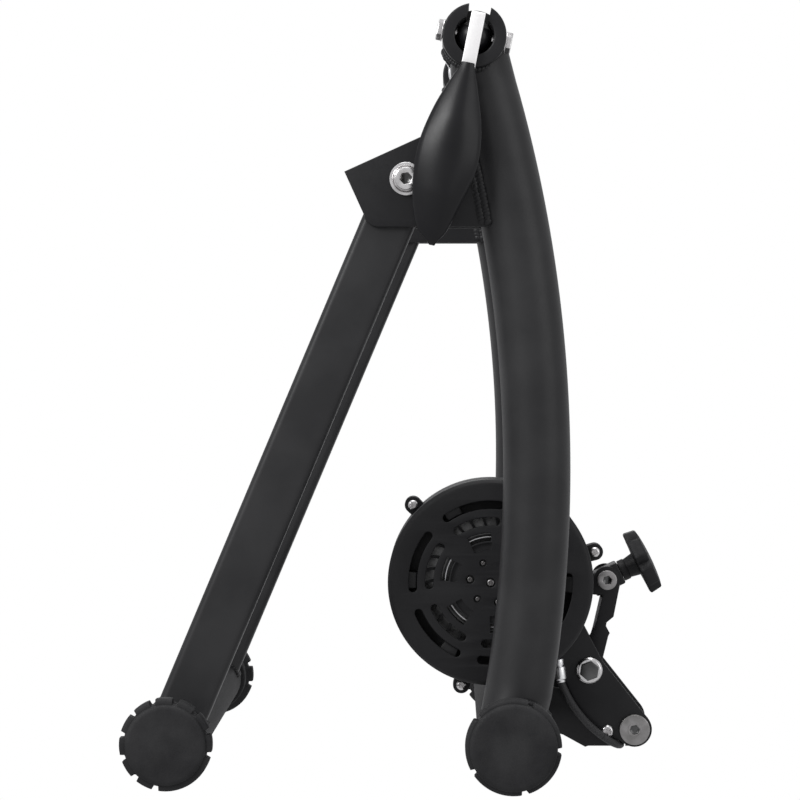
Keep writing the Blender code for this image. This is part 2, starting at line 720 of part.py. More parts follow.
def bushes():
    """Nylon bushes that fill each leg's hinge hole and keep it off the bracket plates."""
    half = BRACKET_INNER - CLEAR
    for name, side in (("near_leg_bush", -1), ("far_leg_bush", 1)):
        ring(name, BUSH_R, HINGE_BOLT_R + CLEAR, side * SIDE_Y - half, side * SIDE_Y + half, HINGE_X,
             HINGE_Z, BLACK_PLASTIC, "leg_frame", 14)


def hub_clamps():
    """Sleeves across the tops of the arches; the near one is slotted and drilled for the lever."""
    near = turned("near_clamp_sleeve", [(SLEEVE_R, -NEAR_SLEEVE_IN), (SLEEVE_R, -SLEEVE_OUT + 0.001),
                                        (SLEEVE_R - 0.001, -SLEEVE_OUT), (SLEEVE_BORE, -SLEEVE_OUT),
                                        (SLEEVE_BORE, -NEAR_SLEEVE_IN)], AXLE_X, AXLE_Z, BLACK_PAINT,
                  "trainer", 26)
    depth = NOTCH_SLOT_L
    middle = Vector((AXLE_X, -SLEEVE_OUT + depth / 2 - 0.001, AXLE_Z)) - LEVER_DOWN * (SLEEVE_R * 0.75)
    place = Matrix.Translation(middle) @ Matrix.Rotation(LEVER_TILT, 4, "Y")
    slot = box_cutter("lever_slot", (NOTCH_SLOT_W, depth + 0.002, SLEEVE_R * 1.1), place)
    start = Vector((AXLE_X, LEVER_Y, AXLE_Z)) - LEVER_AXIS * 0.03
    drill = hole_cutter("lever_bolt_hole", LEVER_BOLT_R + CLEAR, 0, 0.06, 0, 0, 20, (start, LEVER_AXIS))
    cut(near, slot, drill)
    turned("far_clamp_sleeve", [(SLEEVE_R, SLEEVE_OUT - 0.001), (SLEEVE_R, FAR_SLEEVE_IN),
                                (SLEEVE_BORE, FAR_SLEEVE_IN), (SLEEVE_BORE, SLEEVE_OUT),
                                (SLEEVE_R - 0.001, SLEEVE_OUT)], AXLE_X, AXLE_Z, BLACK_PAINT, "trainer", 26)


def lever_bolt():
    """Hex bolt and nut that the clamp lever turns on, across the near sleeve."""
    place = (Vector((AXLE_X, LEVER_Y, AXLE_Z)), LEVER_AXIS)
    seat = SLEEVE_R + CLEAR
    bolt = ring("lever_bolt", LEVER_BOLT_R, 0, -seat - 0.001, seat + LEVER_BOLT_HEAD_H + 0.001, 0, 0, ZINC,
                "trainer", 14, place)
    head = ring("bolt_head", LEVER_BOLT_HEAD_R, 0, -seat - LEVER_BOLT_HEAD_H, -seat, 0, 0, ZINC, "trainer",
                6, place)
    nut = ring("bolt_nut", LEVER_BOLT_HEAD_R, 0, seat, seat + LEVER_BOLT_HEAD_H, 0, 0, ZINC, "trainer", 6,
               place)
    join(bolt, head, nut)


def lever_profile():
    """Side view of the lever bar, as (inwards, up) from its bolt: a cam whose reach falls evenly as it turns,
    a neck, and the flat bar that hangs down in front of the sleeve."""
    rate = CAM_THROW / LEVER_OPEN
    cam = []
    for i in range(13):
        turn = -0.25 + (LEVER_OPEN + 0.25) * i / 12
        reach = CAM_REACH - rate * max(turn, 0)
        slope = rate if turn > 0 else 0
        cam.append((reach * cos(turn) + slope * sin(turn), reach * sin(turn) - slope * cos(turn)))
    neck_top = 0.0055
    back, face = -LEVER_FACE, -LEVER_FACE - LEVER_T
    cam = [point for point in cam if point[1] < neck_top or point[0] > 0]
    bar = [(-0.002, neck_top), (back, neck_top), (back, LEVER_ABOVE), (face, LEVER_ABOVE - 0.0012),
           (face, -LEVER_BELOW), (back, -LEVER_BELOW), (back, -0.0080), (-0.004, -0.0080)]
    under = arc(0, 0, 0.0085, radians(248), radians(325), 5)
    return cam + bar + under


def lever():
    """Aluminium lever bar with its cam, on the near clamp's bolt."""
    outline = lever_profile()
    mesh = outline_mesh("lever_bar", [outline, circle(0, 0, LEVER_BOLT_R + CLEAR, 20)], -LEVER_W / 2,
                        LEVER_W / 2)
    # The outline's first direction points inwards, along +Y, and its second up along the lever.
    basis = Matrix((( LEVER_AXIS.x * 0, LEVER_AXIS.x, -LEVER_DOWN.x),
                    (1, 0, 0),
                    (0, LEVER_AXIS.z, -LEVER_DOWN.z))).to_4x4()
    mesh.transform(Matrix.Translation((AXLE_X, LEVER_Y, AXLE_Z)) @ basis)
    fix_normals(mesh)
    add_mesh("lever_bar", mesh, ALUMINIUM, "clamp_lever")


def fix_normals(mesh):
    shape = bmesh.new()
    shape.from_mesh(mesh)
    bmesh.ops.recalc_face_normals(shape, faces=shape.faces)
    shape.to_mesh(mesh)
    shape.free()
    shade(mesh)


def grip():
    """Leaf-shaped grip: a loft of crowned sections, hollow at the back for the end of the bar."""
    sections = []
    top = LEVER_Y - LEVER_FACE - LEVER_T - CLEAR
    for i in range(GRIP_STATIONS + 1):
        t = i / GRIP_STATIONS
        t = t ** 0.9 if t < 1 else 1.0
        down = GRIP_START + (GRIP_TIP - GRIP_START) * t
        left, right = between(GRIP_LEFT, t), between(GRIP_RIGHT, t)
        crown = GRIP_CROWN * min(1.0, max(left + right, 0.004) / 0.030) ** 0.6
        bow = 0.004 * sin(pi * t)
        base = Vector((AXLE_X, top - bow, AXLE_Z)) + LEVER_DOWN * down
        section = []
        for share in (-1.0, -0.6, 0.0, 0.6, 1.0):
            across = share * (left if share < 0 else right)
            rise = crown * (1 - share * share)
            section.append(base + LEVER_AXIS * across + Vector((0, -rise - GRIP_EDGE, 0)))
        for share in (1.0, 0.0, -1.0):
            across = share * (left if share < 0 else right)
            section.append(base + LEVER_AXIS * across)
        sections.append(section)
    add_mesh("lever_grip", bridged_mesh("lever_grip", sections), BLACK_PLASTIC, "clamp_lever")


def hub_cups():
    """Near plunger and cup, far adjusting screw and cup, its lock ring and hand knob."""
    shaft = SLEEVE_BORE - PLUNGER_CLEAR
    inner = -HUB_GAP_HALF
    cup_in = NEAR_CUP_R - CUP_WALL
    turned("near_plunger", [(0, -HUB_GAP_HALF - CUP_L - CLEAR), (shaft, -HUB_GAP_HALF - CUP_L - CLEAR),
                            (shaft, PLUNGER_END + 0.001), (shaft - 0.001, PLUNGER_END), (0, PLUNGER_END)],
           AXLE_X, AXLE_Z, BLACK_PAINT, "clamp_plunger", 24)
    turned("near_hub_cup", [(0, inner - CUP_DEPTH), (cup_in - 0.003, inner - CUP_DEPTH), (cup_in, inner),
                            (NEAR_CUP_R - 0.001, inner), (NEAR_CUP_R, inner - 0.001),
                            (NEAR_CUP_R, inner - CUP_L), (0, inner - CUP_L)], AXLE_X, AXLE_Z, ALUMINIUM,
           "clamp_plunger", 24)
    inner = HUB_GAP_HALF
    cup_in = FAR_CUP_R - CUP_WALL
    turned("far_hub_cup", [(0, inner + CUP_L), (FAR_CUP_R, inner + CUP_L), (FAR_CUP_R, inner + 0.001),
                           (FAR_CUP_R - 0.001, inner), (cup_in, inner), (cup_in - 0.003, inner + CUP_DEPTH),
                           (0, inner + CUP_DEPTH)], AXLE_X, AXLE_Z, ALUMINIUM, "far_screw", 24)
    knob_in = SLEEVE_OUT + CLEAR + LOCK_RING_L + FAR_TRAVEL + 0.001
    ring("far_hub_screw", shaft, 0, inner + CUP_L + CLEAR, knob_in + 0.006, AXLE_X, AXLE_Z, DARK_STEEL,
         "far_screw", 32)
    ring("far_lock_ring", LOCK_RING_R, SLEEVE_BORE, SLEEVE_OUT + CLEAR, SLEEVE_OUT + CLEAR + LOCK_RING_L,
         AXLE_X, AXLE_Z, ALUMINIUM, "trainer", 24)
    outline = []
    for i in range(32):
        angle = 2 * pi * i / 32
        radius = FAR_KNOB_R - 0.0012 * (1 - cos(8 * angle)) / 2
        outline.append((AXLE_X + radius * cos(angle), AXLE_Z + radius * sin(angle)))
    knob = plate("far_knob", [outline], knob_in, knob_in + FAR_KNOB_L, BLACK_PLASTIC, "far_knob")
    cut(knob, hole_cutter("far_knob_bore", SLEEVE_BORE, knob_in - 0.01, knob_in + 0.0065, AXLE_X, AXLE_Z,
                          32))


def yoke_outline():
    """Side view of a yoke plate: pivot end, straight edge past the link bolt, the boss round the shaft,
    and the curved lower edge that the cable follows."""
    cable_x, cable_z, cable_r = CABLE_ARC
    edge = cable_r - CABLE_R - CLEAR
    outline = arc(PIVOT_X, PIVOT_Z, PIVOT_END_R, radians(-122), radians(37.4), 7)
    outline.append((LINK_FOOT_X + LINK_FOOT_R * cos(radians(34)), LINK_FOOT_Z + LINK_FOOT_R
                    * sin(radians(34))))
    outline += arc(ANCHOR.x, ANCHOR.z, 0.0173, radians(27.7), radians(62), 3)
    outline += arc(UNIT_X, UNIT_Z, 0.030, radians(48), radians(196), 7)
    outline += arc(UNIT_X - 0.035, UNIT_Z - 0.0286, 0.011, radians(172), radians(262), 4)
    outline += [(UNIT_X + 0.012, UNIT_Z - 0.052), (0.0660, 0.0640)]
    outline += arc(cable_x, cable_z, edge, radians(200), radians(242), 6)
    return outline


def yoke():
    """Two steel plates that carry the roller, the anchor pin and the link bolt, kept apart by tie tubes."""
    tie_x, tie_z = UNIT_X - 0.035, UNIT_Z - 0.0286
    for name, side in (("near_yoke_plate", -1), ("far_yoke_plate", 1)):
        low, high = sorted((side * YOKE_Y, side * (YOKE_Y + YOKE_T)))
        holes = [circle(UNIT_X, UNIT_Z, BEARING_R + CLEAR, 28),
                 circle(PIVOT_X, PIVOT_Z, PIVOT_BOLT_R + CLEAR, 16),
                 circle(LINK_FOOT_X, LINK_FOOT_Z, LINK_BOLT_R + CLEAR, 14),
                 circle(ANCHOR.x, ANCHOR.z, 0.0040 + CLEAR, 14)]
        yoke_plate = plate(name, [yoke_outline()] + holes, low, high, BLACK_PAINT, "resistance_unit")
        low, high = sorted((side * (YOKE_Y + 0.001), side * (YOKE_Y - CARRIER_T)))
        join(yoke_plate, ring(name + "_boss", BEARING_R + 0.0045, BEARING_R + CLEAR, low, high, UNIT_X,
                              UNIT_Z, BLACK_PAINT, "resistance_unit", 28))
    half = YOKE_Y - CLEAR
    ring("yoke_tie", 0.006, 0, -half, half, tie_x, tie_z, BLACK_PAINT, "resistance_unit", 20)
    for name, side in (("near_link_spacer", -1), ("far_link_spacer", 1)):
        low, high = sorted((side * half, side * (LINK_HALF + CLEAR)))
        ring(name, 0.0068, LINK_BOLT_R + CLEAR, low, high, LINK_FOOT_X, LINK_FOOT_Z, ZINC,
             "resistance_unit", 14)
    face = YOKE_Y + YOKE_T + CLEAR
    turned("anchor_pin", [(0, face + 0.0036), (0.0060, face + 0.0036), (0.0060, face), (0.0040, face),
                          (0.0040, -YOKE_Y - YOKE_T), (0, -YOKE_Y - YOKE_T)], ANCHOR.x, ANCHOR.z, ZINC,
           "resistance_unit", 14)
    through_bolt("link_bolt", LINK_BOLT_R, LINK_HEAD_R, 0.0052, face, LINK_FOOT_X, LINK_FOOT_Z, 0.0050)


def through_bolt(name, shank, head, head_h, face, x, z, socket=0.0):
    """A bolt through both yoke plates, with its head on the near side and its nut on the far side."""
    nut_h = head_h + 0.002
    profile = [(0, face + nut_h), (head * 0.94, face + nut_h), (head * 0.94, face), (shank, face),
               (shank, -face), (head, -face), (head, -face - head_h * 0.5), (head * 0.9, -face - head_h)]
    if socket:
        profile += [(socket, -face - head_h), (socket * 0.9, -face - head_h * 0.45),
                    (0, -face - head_h * 0.45)]
    else:
        profile += [(0, -face - head_h)]
    return turned(name, profile, x, z, ZINC, "resistance_unit", 14)


def arc_slot(radius, width, middle, half_span, round_ends=True):
    """A slot that follows a circle round the unit's axis."""
    half = width / 2
    start, end = middle - half_span, middle + half_span
    outer = arc(UNIT_X, UNIT_Z, radius + half, start, end, 3)
    inner = arc(UNIT_X, UNIT_Z, radius - half, end, start, 3)
    if not round_ends:
        return outer + inner
    caps = []
    for angle, sign in ((end, 1), (start, -1)):
        x, z = UNIT_X + radius * cos(angle), UNIT_Z + radius * sin(angle)
        first = angle if sign > 0 else angle + pi
        caps.append(arc(x, z, half, first, first + pi, 3)[1:-1])
    return outer + caps[0] + inner + caps[1]


def ear(name, angle, low, high, body="resistance_unit"):
    """A screw ear: a round lug joined to the housing's rim by its own width."""
    x, z = UNIT_X + EAR_RADIUS * cos(angle), UNIT_Z + EAR_RADIUS * sin(angle)
    root = EAR_RADIUS - 0.010
    side = [(UNIT_X + root * cos(angle + s * 0.085), UNIT_Z + root * sin(angle + s * 0.085)) for s in (1,
                                                                                                       -1)]
    outline = arc(x, z, EAR_R, angle - pi / 2, angle + pi / 2, 8) + side
    return plate(name, [outline], low, high, BLACK_PLASTIC, body)


def cover():
    """Slotted brake cover: chamfered rim, front wall with rings of vents, three screw ears."""
    front, back = -COVER_Y, -SPLIT_Y - CLEAR
    wall = HOUSING_WALL
    profile = [(HOUSING_R, back), (HOUSING_R, front + COVER_CHAMFER), (HOUSING_R - COVER_CHAMFER, front),
               (0, front), (0, front + wall), (HOUSING_R - COVER_CHAMFER - 0.001, front + wall),
               (HOUSING_R - wall, front + COVER_CHAMFER + 0.001), (HOUSING_R - wall, back)]
    piece = turned("brake_cover", profile, UNIT_X, UNIT_Z, BLACK_PLASTIC, "resistance_unit", HOUSING_STEPS)
    holes = []
    shallow = []
    low, high, window_half = ARC_WINDOW
    for i in range(SECTORS):
        middle = SECTOR_START + i * 2 * pi / SECTORS
        for radius, width, half_span in SLOT_ROWS:
            holes.append(arc_slot(radius, width, middle, half_span))
        holes.append(arc_slot((low + high) / 2, high - low, middle, window_half, False))
        shallow.append(arc_slot(SHALLOW_ROW[0], SHALLOW_ROW[1], middle, SHALLOW_ROW[2], False))
    for i in range(3):
        angle = radians(51 + 120 * i)
        holes.append(circle(UNIT_X + CENTRE_BOSS_R * cos(angle), UNIT_Z + CENTRE_BOSS_R * sin(angle),
                            0.0027, 8))
    holes.append(circle(UNIT_X, UNIT_Z, 0.0030, 8))
    join(piece, *[ear("cover_ear", angle, back - EAR_T, back - 0.0001) for angle in EAR_ANGLES])
    cut(piece, plate_cutter("vents", holes, front - 0.001, front + wall + 0.001),
        plate_cutter("shallow_slots", shallow, front - 0.001, front + SHALLOW_DEPTH),
        ear_holes("cover_ear_holes"))


def ear_holes(name):
    """Screw holes through the ears of both halves of the housing."""
    holes = [circle(UNIT_X + EAR_RADIUS * cos(angle), UNIT_Z + EAR_RADIUS * sin(angle), 0.0017, 6)
             for angle in EAR_ANGLES]
    return plate_cutter(name, holes, -SPLIT_Y - 0.02, -SPLIT_Y + 0.02)


def back_housing():
    """Rear half of the brake housing: a pan on the near yoke plate, with the magnets' collar."""
    back, split = -HOUSING_BACK_Y, -SPLIT_Y
    wall = HOUSING_WALL
    profile = [(HOUSING_R - 0.0061, back), (HOUSING_R, back - 0.006), (HOUSING_R, split),
               (HOUSING_R - wall, split), (HOUSING_R - wall, back - 0.007),
               (HOUSING_R - 0.0071, back - wall), (COLLAR_R, back - wall),
               (COLLAR_R, -SPLIT_Y - 0.0065), (COLLAR_R - 0.0025, -SPLIT_Y - 0.0065),
               (COLLAR_R - 0.0025, back)]
    piece = turned("brake_back_housing", profile, UNIT_X, UNIT_Z, BLACK_PLASTIC, "resistance_unit",
                   HOUSING_STEPS)
    join(piece, *[ear("back_ear", angle, split + 0.0001, split + EAR_T) for angle in EAR_ANGLES])
    cut(piece, ear_holes("back_ear_holes"))


def roller_and_bearings():
    """Steel roller with recessed ends on its shaft, in two bearings held by the yoke plates."""
    bore = SHAFT_R + CLEAR
    half = ROLLER_HALF
    turned("roller", [(ROLLER_R, half - 0.001), (ROLLER_R, -half + 0.001), (ROLLER_R - 0.001, -half),
                      (ROLLER_R - 0.004, -half), (ROLLER_R - 0.005, -half + 0.004), (0.0100, -half + 0.004),
                      (0.0100, -half), (bore, -half), (bore, half), (0.0100, half), (0.0100, half - 0.004),
                      (ROLLER_R - 0.005, half - 0.004), (ROLLER_R - 0.004, half), (ROLLER_R - 0.001, half)],
           UNIT_X, UNIT_Z, DARK_STEEL, "rotor", 24)
    for name, side in (("near_bearing", -1), ("far_bearing", 1)):
        low, high = sorted((side * (YOKE_Y + YOKE_T), side * (YOKE_Y + YOKE_T - BEARING_L)))
        ring(name, BEARING_R, bore, low, high, UNIT_X, UNIT_Z, DARK_STEEL, "resistance_unit", 28)


def brake_rotor():
    """Shaft, aluminium flywheel with its bright turned ring, and the ring of cooling fins."""
    bore = SHAFT_R + CLEAR
    wheel_front = -COVER_Y + HOUSING_WALL + 0.0050
    wheel_back = wheel_front + FLYWHEEL_T
    shaft_far = YOKE_Y + YOKE_T + 0.004
    turned("rotor_shaft", [(0, shaft_far), (SHAFT_R - 0.001, shaft_far), (SHAFT_R, shaft_far - 0.001),
                           (SHAFT_R, wheel_front - 0.002), (0, wheel_front - 0.002)], UNIT_X, UNIT_Z,
           DARK_STEEL, "rotor", 24)
    ring_in = SILVER_RING_R - SILVER_RING_T
    turned("flywheel", [(FLYWHEEL_R, wheel_back), (FLYWHEEL_R, wheel_back - 0.003),
                        (SILVER_RING_R, wheel_back - 0.003), (SILVER_RING_R, wheel_front),
                        (ring_in, wheel_front), (ring_in, wheel_front + 0.003),
                        (0.0200, wheel_front + 0.003), (0.0180, wheel_front), (bore, wheel_front),
                        (bore, wheel_back)], UNIT_X, UNIT_Z, ALUMINIUM, "rotor", 32)
    outline = []
    for i in range(FAN_FINS):
        start = 2 * pi * i / FAN_FINS
        for share, radius in ((0.0, FAN_ROOT), (0.30, FAN_ROOT), (0.36, FLYWHEEL_R), (0.64, FLYWHEEL_R)):
            angle = start + share * 2 * pi / FAN_FINS
            outline.append((UNIT_X + radius * cos(angle), UNIT_Z + radius * sin(angle)))
    plate("cooling_fan", [outline, circle(UNIT_X, UNIT_Z, SILVER_RING_R + 0.0006, 24)], wheel_front + 0.0006,
          wheel_back - 0.003 - CLEAR, BLACK_PLASTIC, "rotor")


def magnet_carrier():
    """Plate behind the flywheel with six magnet blocks round its rim; the cable turns it a little."""
    face = -SPLIT_Y - 0.006
    plate_back = face + 0.003
    piece = ring("magnet_carrier", HOUSING_R - 0.0071, COLLAR_R + CLEAR, face, plate_back, UNIT_X, UNIT_Z,
                 DARK_STEEL, "magnets", 32)
    front = -COVER_Y + HOUSING_WALL + 0.0020
    blocks = []
    for i in range(SECTORS):
        middle = SECTOR_START + radians(15) + i * 2 * pi / SECTORS
        blocks.append(plate("magnet", [arc_slot(MAGNET_R, 0.0090, middle, radians(6), False)], front, face
                            + 0.0010, DARK_STEEL, "magnets"))
    join(piece, *blocks)


def mount_bracket():
    """Folded bracket on the rear tube: two arms out to the unit's pivot and a web under the tube side."""
    low = PIVOT_Z - PIVOT_END_R
    outline = arc(PIVOT_X, PIVOT_Z, PIVOT_END_R, radians(-90), radians(85), 7)
    outline += [(0.0900, 0.0420), (0.0560, 0.0480), (0.0450, 0.0350), (0.0560, 0.0200), (0.0758, 0.0139),
                (0.0904, 0.0059), (0.0924, low)]
    outer = ARM_Y + ARM_T
    piece = plate("unit_mount_bracket", [outline], -outer, outer, BLACK_PAINT, "trainer")
    web = ARM_T
    pocket = [(0.0770, 0.0139 + web * 1.15), (0.0904, 0.0059 + web * 1.2), (0.0960, 0.0059 + web),
              (0.0960, 0.0000), (0.1600, 0.0000), (0.1600, 0.0700), (0.0400, 0.0700), (0.0400, 0.0240),
              (0.0560, 0.0200 + web * 1.15)]
    room = hole_cutter("rear_tube_space", TUBE_R + CLEAR, -outer - 0.01, outer + 0.01, REAR_X, REAR_Z,
                       TUBE_SIDES)
    hole = hole_cutter("pivot_hole", PIVOT_BOLT_R + CLEAR, -outer - 0.01, outer + 0.01, PIVOT_X, PIVOT_Z, 16)
    cable_x = FREE_ROUTE[3][0]
    notch = plate_cutter("cable_notch", [circle(cable_x, FREE_ROUTE[3][2], CABLE_R + 0.0009, 16)], -outer
                         - 0.001, -ARM_Y + 0.001)
    cut(piece, plate_cutter("arm_gap", [pocket], -ARM_Y, ARM_Y), room, notch)
    for side in (-1, 1):
        low, high = sorted((side * (outer - 0.001), side * (YOKE_Y - CLEAR)))
        join(piece, ring("pivot_boss", PIVOT_BOSS_R, 0, low, high, PIVOT_X, PIVOT_Z, BLACK_PAINT, "trainer",
                         16))
    cut(piece, hole)
    ring("unit_pivot_sleeve", PIVOT_SLEEVE_R, PIVOT_BOLT_R + CLEAR, -ARM_Y + CLEAR, ARM_Y - CLEAR, PIVOT_X,
         PIVOT_Z, ZINC, "trainer", 16)
    face = YOKE_Y + YOKE_T + CLEAR
    profile = [(0, face + 0.007), (0.0085, face + 0.007), (0.0085, face), (PIVOT_BOLT_R, face),
               (PIVOT_BOLT_R, -face), (PIVOT_HEAD_R, -face), (PIVOT_HEAD_R, -face - PIVOT_HEAD_T + 0.0006),
               (PIVOT_HEAD_R - 0.0006, -face - PIVOT_HEAD_T), (0.0032, -face - PIVOT_HEAD_T),
               (0.0030, -face - 0.0004), (0, -face - 0.0004)]
    turned("unit_pivot_bolt", profile, PIVOT_X, PIVOT_Z, ZINC, "trainer", 18)


def link_outline():
    """Side view of the tension link: swivel eye, stepped right edge, bolt boss and the arm to the bumper."""
    outline = arc(SWIVEL_X, SWIVEL_Z, SWIVEL_R, radians(-12), radians(185), 9)
    outline += [(0.0965, 0.1048), (0.1030, 0.1044), (0.0977, 0.0813), (0.0962, 0.0763)]
    outline += arc(LINK_FOOT_X, LINK_FOOT_Z, 0.0095, radians(120), radians(150), 2)
    outline += arc(BUMPER_X, BUMPER_Z, 0.0042, radians(98), radians(275), 6)
    outline += arc(LINK_FOOT_X, LINK_FOOT_Z, 0.0095, radians(275), radians(370), 5)
    outline += [(0.1067, 0.0772), (0.1077, 0.0791), (0.1052, 0.0838), (0.1056, 0.0862), (0.1102, 0.0900)]
    return outline


def tension_parts():
    """Link on the yoke's bolt, swivel block between its cheeks, rod, knob and the rubber bumper."""
    link = plate("tension_link", [link_outline()], -LINK_HALF, LINK_HALF, BLACK_PAINT, "tension_link")
    inner = LINK_HALF - LINK_T
    gap = [(0.1007, 0.0826), (0.1050, 0.1020), (0.0900, 0.1020), (0.0900, 0.1300), (0.1300, 0.1300),
           (0.1300, 0.0300), (0.0400, 0.0300), (0.0400, 0.0810), (0.1007, 0.0810)]
    holes = [hole_cutter("link_hole", LINK_BOLT_R + CLEAR, -0.03, 0.03, LINK_FOOT_X, LINK_FOOT_Z, 14),
             hole_cutter("swivel_hole", 0.0035 + CLEAR, -0.03, 0.03, SWIVEL_X, SWIVEL_Z, 14),
             hole_cutter("bumper_hole", BUMPER_PIN_R + CLEAR, -0.03, 0.03, BUMPER_X, BUMPER_Z, 12)]
    cut(link, plate_cutter("link_gap", [gap], -inner, inner), *holes)
    turned("link_bumper", [(0, LINK_HALF + 0.0012), (BUMPER_PIN_R, LINK_HALF + 0.0012),
                           (BUMPER_PIN_R, inner - CLEAR), (BUMPER_R, inner - CLEAR),
                           (BUMPER_R, -inner + CLEAR), (BUMPER_PIN_R, -inner + CLEAR),
                           (BUMPER_PIN_R, -LINK_HALF - 0.0012), (0, -LINK_HALF - 0.0012)], BUMPER_X,
           BUMPER_Z, BLACK_RUBBER, "tension_link", 16)
    for name, side in (("near_swivel_screw", -1), ("far_swivel_screw", 1)):
        seat = side * (LINK_HALF + CLEAR)
        top = seat + side * 0.0042
        tip = side * 0.0072
        profile = [(0, top - side * 0.0020), (0.0022, top - side * 0.0020), (0.0026, top), (0.0060, top),
                   (0.0065, top - side * 0.0008), (0.0065, seat), (0.0035, seat), (0.0035, tip), (0, tip)]
        if side < 0:
            profile.reverse()
        turned(name, profile, SWIVEL_X, SWIVEL_Z, ZINC, "tension_link", 14)

    turn = Matrix.Translation(SWIVEL) @ Matrix.Rotation(-ROD_SLOPE, 4, "Y")
    mesh = bpy.data.meshes.new("swivel_block")
    shape = bmesh.new()
    size = (2 * BLOCK_HALF_L, 2 * (inner - CLEAR), 2 * BLOCK_HALF_H, 1.0)
    bmesh.ops.create_cube(shape, size=1.0, matrix=turn @ Matrix.Diagonal(size))
    shape.to_mesh(mesh)
    shape.free()
    block = add_mesh("swivel_block", mesh, BLACK_PAINT, "swivel_block")
    bore = hole_cutter("rod_bore", ROD_BORE, -0.03, 0.03, 0, 0, 14, (SWIVEL, ROD_DIR))
    cut(block, bore, hole_cutter("near_screw_room", 0.0035 + CLEAR, -0.02, -0.0065, SWIVEL_X, SWIVEL_Z, 12),
        hole_cutter("far_screw_room", 0.0035 + CLEAR, 0.0065, 0.02, SWIVEL_X, SWIVEL_Z, 12))

    rod = ring("tension_rod", ROD_R, 0, 0.002, ROD_LENGTH + ROD_PAST_BLOCK, 0, 0, ZINC, "tension_rod", 14,
               (ANCHOR, ROD_DIR))
    eye = ring("rod_eye", ANCHOR_R, 0, -0.0070, 0.0070, ANCHOR.x, ANCHOR.z, ZINC, "tension_rod", 18)
    join(rod, eye)
    cut(rod, hole_cutter("eye_hole", 0.0040 + CLEAR, -0.02, 0.02, ANCHOR.x, ANCHOR.z, 14))

    start = BLOCK_HALF_L + CLEAR
    stem = turned("tension_knob", [(0, KNOB_HEAD_START + 0.001), (KNOB_STEM_R, KNOB_HEAD_START + 0.001),
                                   (KNOB_STEM_R, start), (0, start)], 0, 0, BLACK_PLASTIC, "tension_knob",
                  24, (SWIVEL, ROD_DIR))
    join(stem, knob_head())
    cut(stem, hole_cutter("knob_bore", ROD_BORE, -0.01, KNOB_BORE_L, 0, 0, 14, (SWIVEL, ROD_DIR)))


def knob_head():
    """Lobed knob head: flat at the back, domed in front, with six lobes."""
    points = 6 * KNOB_LOBES
    rings = ((0.0, 0.96), (0.0010, 1.0), (0.0078, 1.0), (KNOB_HEAD_L - 0.0010, 0.72), (KNOB_HEAD_L, 0.35))
    across = Vector((0, 1, 0))
    over = ROD_DIR.cross(across)
    sections = []
    for height, share in rings:
        section = []
        for i in range(points):
            angle = 2 * pi * i / points
            radius = share * (KNOB_R - 0.0012 * (1 - cos(KNOB_LOBES * angle)))
            centre = SWIVEL + ROD_DIR * (KNOB_HEAD_START + height)
            section.append(centre + across * (radius * cos(angle)) + over * (radius * sin(angle)))
        sections.append(section)
    return add_mesh("knob_head", bridged_mesh("knob_head", sections), BLACK_PLASTIC, "tension_knob")


def cable_parts():
    """Barrel adjuster and cable on the unit, then the free cable, its coil and the handlebar shifter."""
    centre_x, centre_z, radius = CABLE_ARC
    held = [(x, CABLE_Y, z) for x, z in arc(centre_x, centre_z, radius, CABLE_START, CABLE_LEAVES, 8)]
    tube_along("unit_cable", held, CABLE_R, BLACK_PLASTIC, "resistance_unit")
    top = Vector(held[0])
    up = Vector((-2.0, 0, 17.1)).normalized()
    turned("cable_adjuster", [(0, 0.0182), (0.0030, 0.0182), (0.0030, 0.0132), (FERRULE_R, 0.0130),
                              (FERRULE_R, 0.0026), (0.0027, 0.0022), (0.0027, CLEAR * 3), (0, CLEAR * 3)],
           0, 0, ALUMINIUM, "resistance_unit", 14, (top, up))
    path = smooth_path(FREE_ROUTE, 3 * CABLE_R)
    gap = (path[1] - path[0]).normalized() * 2 * CLEAR
    path[0] = path[0] + gap
    tube_along("shift_cable", path, CABLE_R, BLACK_PLASTIC, "trainer")
    half = COIL_BAND / 2
    low = 0.0001
    profile = [(COIL_MID_R + half - 0.002, low + COIL_H), (COIL_MID_R + half, low + COIL_H - 0.002),
               (COIL_MID_R + half, low + 0.002), (COIL_MID_R + half - 0.002, low),
               (COIL_MID_R - half + 0.002, low), (COIL_MID_R - half, low + 0.002),
               (COIL_MID_R - half, low + COIL_H - 0.002), (COIL_MID_R - half + 0.002, low + COIL_H)]
    turned("cable_coil", profile, 0, 0, BLACK_PLASTIC, "trainer", 26, ((COIL_X, COIL_Y, 0), (0, 0, 1)))
    tube_along("cable_tail", smooth_path(TAIL_ROUTE, 3 * CABLE_R), CABLE_R, BLACK_PLASTIC, "trainer")


